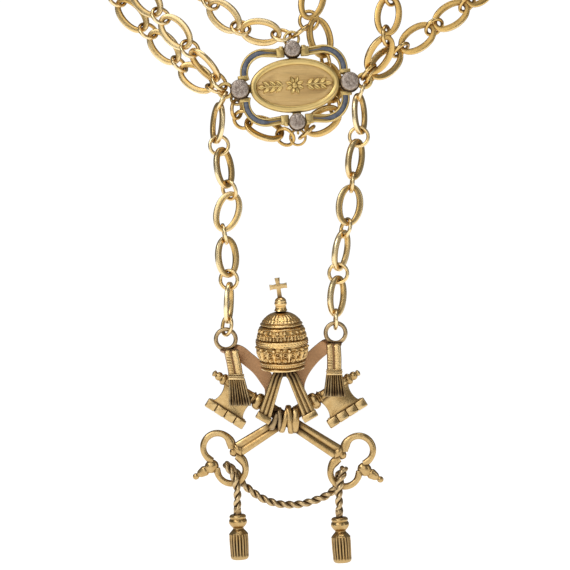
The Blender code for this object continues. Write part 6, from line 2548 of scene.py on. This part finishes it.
    def thread(self, length: float) -> Mesh:
        """Return one thread that hangs down from its start.

        Args:
            length: The thread's length.

        Returns:
            The mesh.
        """
        rings = []
        for share, width in ((0.0, 0.3), (0.08, 0.37), (0.5, 0.4), (0.85, 0.45), (0.97, 0.43), (1.0, 0.28)):
            rings.append([Vector((width * MM * math.cos(turn), width * 1.15 * MM * math.sin(turn),
                                  -length * share))
                          for turn in [math.tau * step / 8 for step in range(8)]])
        thread = mesh_of("thread", [stack_rings(rings)])
        return with_tarnish_and_shade(thread,
                      lambda place: 0.05 + 0.75 * min(1.0, max(0.0, -place.z / length - 0.25) / 0.5))

    def build(self) -> Object:
        """Make and place the lappet with its soldered ring.

        Returns:
            The new piece.
        """
        meshes = self.strap() + [self.notches(), self.collar_rings(), self.threads()]
        for mesh in meshes:
            mesh.transform(Matrix.Translation(Y_AXIS * BALANCE_SHIFT))
        centre = self.side * Vector((HANGER_SPREAD / 2.0, 0.0,
                                     HANGER_RISE / 2.0)) - Z_AXIS * self.hanger_radius
        ring = loop_shell(self.hanger_radius, self.hanger_radius,
                          rounded_section(self.hanger_wire, self.hanger_wire, 14, 2.0), 48)
        hanger = mesh_of("hanger", [moved(ring, Matrix.Translation(centre))])
        meshes.append(with_tarnish_and_shade(finished(hanger, self.palette[Gilt.TARNISHED]), lambda place: 0.25))
        mesh = joined(self.name, meshes)
        mesh.transform(Matrix.Translation(PIVOT))
        return add_piece(self.name + "_dressed", mesh, "pendant", [self.name])


@dataclass
class Swag:
    """The cord of two twisted wires through both bows, with a tassel at each end."""

    palette: Palette
    sweep: SweepTree
    route: list[tuple[float, float, float]]
    strand_offset: float = 0.61 * MM
    strand_radius: float = 0.81 * MM
    pitch: float = 6.4 * MM

    def cord(self) -> Object:
        """Make and place the twisted cord.

        Returns:
            The new piece.
        """
        points = even_route([Vector(point) for point in self.route], 0.28 * MM)
        across = X_AXIS
        run = 0.0
        paths: list[list[Vector]] = [[], []]
        for index, point in enumerate(points):
            along = heading(points, index)
            across = (across - along * across.dot(along)).normalized()
            aside = along.cross(across)
            run += (point - points[max(index - 1, 0)]).length
            for number, path in enumerate(paths):
                turn = math.tau * run / self.pitch + math.pi * number
                path.append(point + (across * math.cos(turn) + aside * math.sin(turn)) * self.strand_offset)
        mesh = self.sweep.run(paths, self.strand_radius, 12, self.palette[Gilt.TARNISHED])
        mesh.transform(hanging())
        return add_piece("swag_cord_twisted", mesh, "pendant", ["swag_cord"])

    def tassel(self, name: str, end: Vector, lean: float) -> Object:
        """Make and place a tassel: a ball, a neck and a ribbed barrel.

        Args:
            name: The node that it stands for.
            end: Where it hangs.
            lean: Its lean in radians.

        Returns:
            The new piece.
        """
        top = -0.3 * MM
        ball = [(0.0, 0.0), (2.0, 0.0), (2.7, -0.3), (2.95, -0.9), (2.75, -1.45), (3.0, -1.8), (3.2, -2.5),
                (3.05, -3.2), (2.55, -4.0), (1.95, -4.6), (1.85, -4.9), (2.05, -5.25), (2.75, -6.0),
                (3.2, -6.6), (3.15, -6.8), (0.0, -6.8)]
        upper = spun([(radius * MM, top + height * MM) for radius, height in ball], 48, parts=3)
        rings = []
        columns = 144
        for height, reach in ((-6.5, 2.2), (-6.6, 2.95), (-6.85, 3.2), (-7.2, 3.3), (-9.0, 3.34),
                              (-11.5, 3.3),
                              (-13.6, 3.22), (-14.2, 3.2), (-14.5, 3.22), (-15.0, 3.2), (-15.6, 3.0),
                              (-15.9, 2.6), (-15.85, 1.2)):
            ring = []
            deep = min(1.0, max(0.0, (-6.9 - height) / 0.3)) * min(1.0, max(0.0, (height + 14.6) / 0.5))
            for step in range(columns):
                turn = math.tau * step / columns
                rib = abs(math.cos(turn * 9.0 + 0.4)) ** 0.7
                radius = (reach - 0.55 * deep * (1.0 - rib)) * MM
                ring.append(Vector((radius * math.cos(turn), radius * math.sin(turn), height * MM)))
            rings.append(ring)
        bulb = [(0.0, 2.9), (0.9, 2.8), (1.25, 2.3), (1.35, 1.4), (1.2, 0.5), (1.3, 0.1), (1.6, -0.3),
                (0.0, -0.4)]
        wrapped = spun([(radius * MM, top + height * MM) for radius, height in reversed(bulb)], 24, parts=3)
        barrel = finished(mesh_of("barrel", [stack_rings(rings)]), self.palette[Gilt.KEYS])
        with_tarnish_and_shade(barrel, lambda place: 0.3 * min(1.0, max(0.0, (-place.z / MM - 7.2) / 0.5)))
        mesh = joined(name, [barrel, finished(mesh_of("ball", [upper]), self.palette[Gilt.KEYS]),
                             finished(mesh_of("bulb", [wrapped]), self.palette[Gilt.TARNISHED])])
        mesh.transform(Matrix.Translation(end) @ Matrix.Rotation(lean, 4, "Y"))
        mesh.transform(hanging())
        return add_piece(name + "_cast", mesh, "pendant", [name])

    def build(self) -> list[Object]:
        """Make the cord and both tassels."""
        start, end = Vector(self.route[0]), Vector(self.route[-1])
        return [self.cord(), self.tassel("tassel_left", start, math.radians(-3.0)),
                self.tassel("tassel_right", end, math.radians(-4.0))]


# The cord's route, in millimetres from the middle of the swing axis
SWAG_ROUTE = in_mm([
    (-15.0, -1.1, -65.1), (-15.1, -1.1, -60.6), (-15.1, -1.1, -57.1), (-16.2, -1.3, -52.2),
    (-18.2, 0.1, -49.3),
    (-19.1, 1.7, -48.4), (-18.1, 3.2, -49.2), (-15.6, 4.4, -51.5), (-13.5, 4.4, -55.2), (-10.7, 4.3, -57.7),
    (-7.2, 4.0, -60.2), (-3.8, 3.6, -61.6), (-0.9, 3.2, -62.4), (3.1, 2.6, -62.6), (6.5, 2.2, -62.4),
    (9.9, 1.8, -61.6), (13.9, 1.4, -60.2), (16.8, 1.2, -58.7), (18.8, 1.1, -56.7), (19.8, 1.0, -53.0),
    (21.2, 0.1, -50.4), (22.1, -1.7, -49.6), (21.6, -3.5, -50.9), (20.7, -4.3, -53.5), (20.1, -4.4, -57.0),
    (20.2, -4.4, -61.0), (20.3, -4.4, -65.6),
])


@dataclass
class Pendant:
    """Everything that swings on the two rings."""

    palette: Palette
    repeat: RepeatTree
    sweep: SweepTree

    def build(self) -> list[Object]:
        """Make and place all the pieces of the pendant.

        Returns:
            The new pieces.
        """
        pieces = Tiara(self.palette).build()
        pieces.append(Stay("stay_left", self.palette,
                           [(-0.6, 1.5), (-0.6, -14.7), (-1.6, -18.4), (-5.7, -31.3)],
                           (-5.9, -31.6), -0.52).build())
        pieces.append(Stay("stay_right", self.palette,
                           [(3.3, 1.5), (3.3, -14.7), (4.6, -18.2), (9.95, -30.6)],
                           (10.1, -31.0), 0.52).build())
        pieces.append(Key("key_front", -1.0, -KEY_OFFSET, self.palette, bow_reach=26.9 * MM).build())
        pieces.append(Key("key_rear", 1.0, KEY_OFFSET, self.palette).build())
        pieces.append(Lappet(
            "lappet_left", -1.0, self.palette, self.repeat,
            [(-4.7, -29.0, 0.66), (-3.7, -24.9, 0.78), (-3.5, -21.7, 0.92), (-4.9, -18.9, 1.0),
             (-7.9, -14.9, 1.0), (-11.9, -11.5, 1.0), (-14.2, -9.6, 1.0)],
            [(-16.9, -9.4), (-16.2, -12.5), (-15.5, -16.6)], (-15.4, -17.4),
            ((-15.2, -18.1), (-13.9, -27.7)), 51,
        ).build())
        pieces.append(Lappet(
            "lappet_right", 1.0, self.palette, self.repeat,
            [(7.1, -24.5, 0.66), (6.2, -20.5, 0.9), (7.6, -16.0, 1.0), (10.8, -11.6, 1.0),
             (14.0, -8.6, 1.0)],
            [(18.3, -7.4), (18.5, -11.0), (18.5, -15.0)], (18.5, -15.8), ((18.5, -16.5), (18.6, -24.5)), 53,
        ).build())
        pieces += Swag(self.palette, self.sweep, SWAG_ROUTE).build()
        return pieces


# Studio


@dataclass(frozen=True)
class SoftBox:
    """One large soft light."""

    name: str
    place: tuple[float, float, float]
    aim: tuple[float, float, float]
    width: float
    height: float
    power: float

    def add(self) -> None:
        """Add the light, turned to its aim."""
        light = bpy.data.lights.new(self.name, "AREA")
        light.shape = "RECTANGLE"
        light.size = self.width
        light.size_y = self.height
        light.energy = self.power
        lamp = bpy.data.objects.new(self.name, light)
        lamp.location = self.place
        lamp.rotation_euler = (Vector(self.aim) - Vector(self.place)).to_track_quat("-Z", "Y").to_euler()
        bpy.context.scene.collection.objects.link(lamp)


@dataclass(frozen=True)
class Studio:
    """The camera, the round paper floor, the room and the soft boxes."""

    camera_distance: float = 554.2 * MM
    camera_height: float = -338.8 * MM
    lens: float = 100.85
    sensor: float = 36.0
    floor: float = -0.4475
    floor_radius: float = 0.75
    world: float = 0.19
    backdrop: float = 1.05

    def add_camera(self) -> None:
        """Add the camera, level and square to the object."""
        camera = bpy.data.cameras.new("camera")
        camera.lens = self.lens
        camera.sensor_width = self.sensor
        camera.sensor_height = self.sensor
        camera.clip_start = 0.01
        holder = bpy.data.objects.new("camera", camera)
        holder.location = (0.0, CHEST_Y - self.camera_distance, self.camera_height)
        holder.rotation_euler = (math.pi / 2.0, 0.0, 0.0)
        bpy.context.scene.collection.objects.link(holder)
        bpy.context.scene.camera = holder

    def add_paper(self, palette: Palette) -> None:
        """Add the round paper floor under the object.

        Args:
            palette: The finishes.
        """
        turns = [math.tau * step / 96 for step in range(96)]
        rim = [(self.floor_radius * math.cos(turn), self.floor_radius * math.sin(turn), self.floor)
               for turn in turns]
        mesh = bpy.data.meshes.new("paper_floor")
        mesh.from_pydata(rim, [], [tuple(range(96))])
        mesh.materials.append(palette[Gilt.PAPER])
        sheet = bpy.data.objects.new("paper_floor", mesh)
        bpy.context.scene.collection.objects.link(sheet)

    def add_room(self) -> None:
        """Add the room: dim and even for the metal, white where it is the backdrop."""
        world = bpy.data.worlds.new("studio")
        world.use_nodes = True
        nodes, link = world.node_tree.nodes, world.node_tree.links.new
        room = nodes["Background"]
        room.inputs["Color"].default_value = paint(1.0, 0.985, 0.96)
        room.inputs["Strength"].default_value = self.world
        white = nodes.new("ShaderNodeBackground")
        white.inputs["Color"].default_value = paint(1.0, 1.0, 1.0)
        white.inputs["Strength"].default_value = self.backdrop
        seen = nodes.new("ShaderNodeLightPath")
        either = nodes.new("ShaderNodeMixShader")
        link(seen.outputs["Is Camera Ray"], either.inputs[0])
        link(room.outputs[0], either.inputs[1])
        link(white.outputs[0], either.inputs[2])
        link(either.outputs[0], nodes["World Output"].inputs["Surface"])
        bpy.context.scene.world = world

    def add_lights(self) -> None:
        """Add the soft boxes."""
        for box in (
            SoftBox("key_light", (-0.6, -0.8, 0.3), (0.0, -0.12, -0.33), 0.45, 0.45, 2.5),
            SoftBox("front_light", (-0.35, -1.5, 0.1), (0.0, -0.12, -0.3), 1.1, 1.1, 5.0),
            SoftBox("fill_light", (0.8, -0.75, -0.1), (0.0, -0.12, -0.35), 0.3, 0.7, 0.8),
            SoftBox("top_light", (0.0, -0.25, 0.6), (0.0, -0.12, -0.3), 0.7, 0.4, 2.2),
        ):
            box.add()

    def build(self, palette: Palette) -> None:
        """Set up the camera, the paper and the lights.

        Args:
            palette: The finishes.
        """
        self.add_camera()
        self.add_paper(palette)
        self.add_room()
        self.add_lights()
        bpy.context.scene.view_settings.view_transform = "Standard"


def main() -> None:
    """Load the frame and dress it."""
    logging.basicConfig(level=logging.INFO, format="%(message)s")
    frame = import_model()
    LOG.info("bodies %s, joints %d", sorted(frame["bodies"]), len(frame["joints"]))
    palette = Palette()
    repeat = RepeatTree()
    sweep = SweepTree()
    sizes = MedallionSizes()
    Studio().build(palette)
    Chains(ChainMaker(palette, repeat), sizes).build()
    note_tarnish_and_shade(Medallion(palette, repeat, sizes).build(), HOLLOW_REACH)
    note_tarnish_and_shade(Pendant(palette, repeat, sweep).build(), HOLLOW_REACH)


if __name__ == "__main__":
    main()
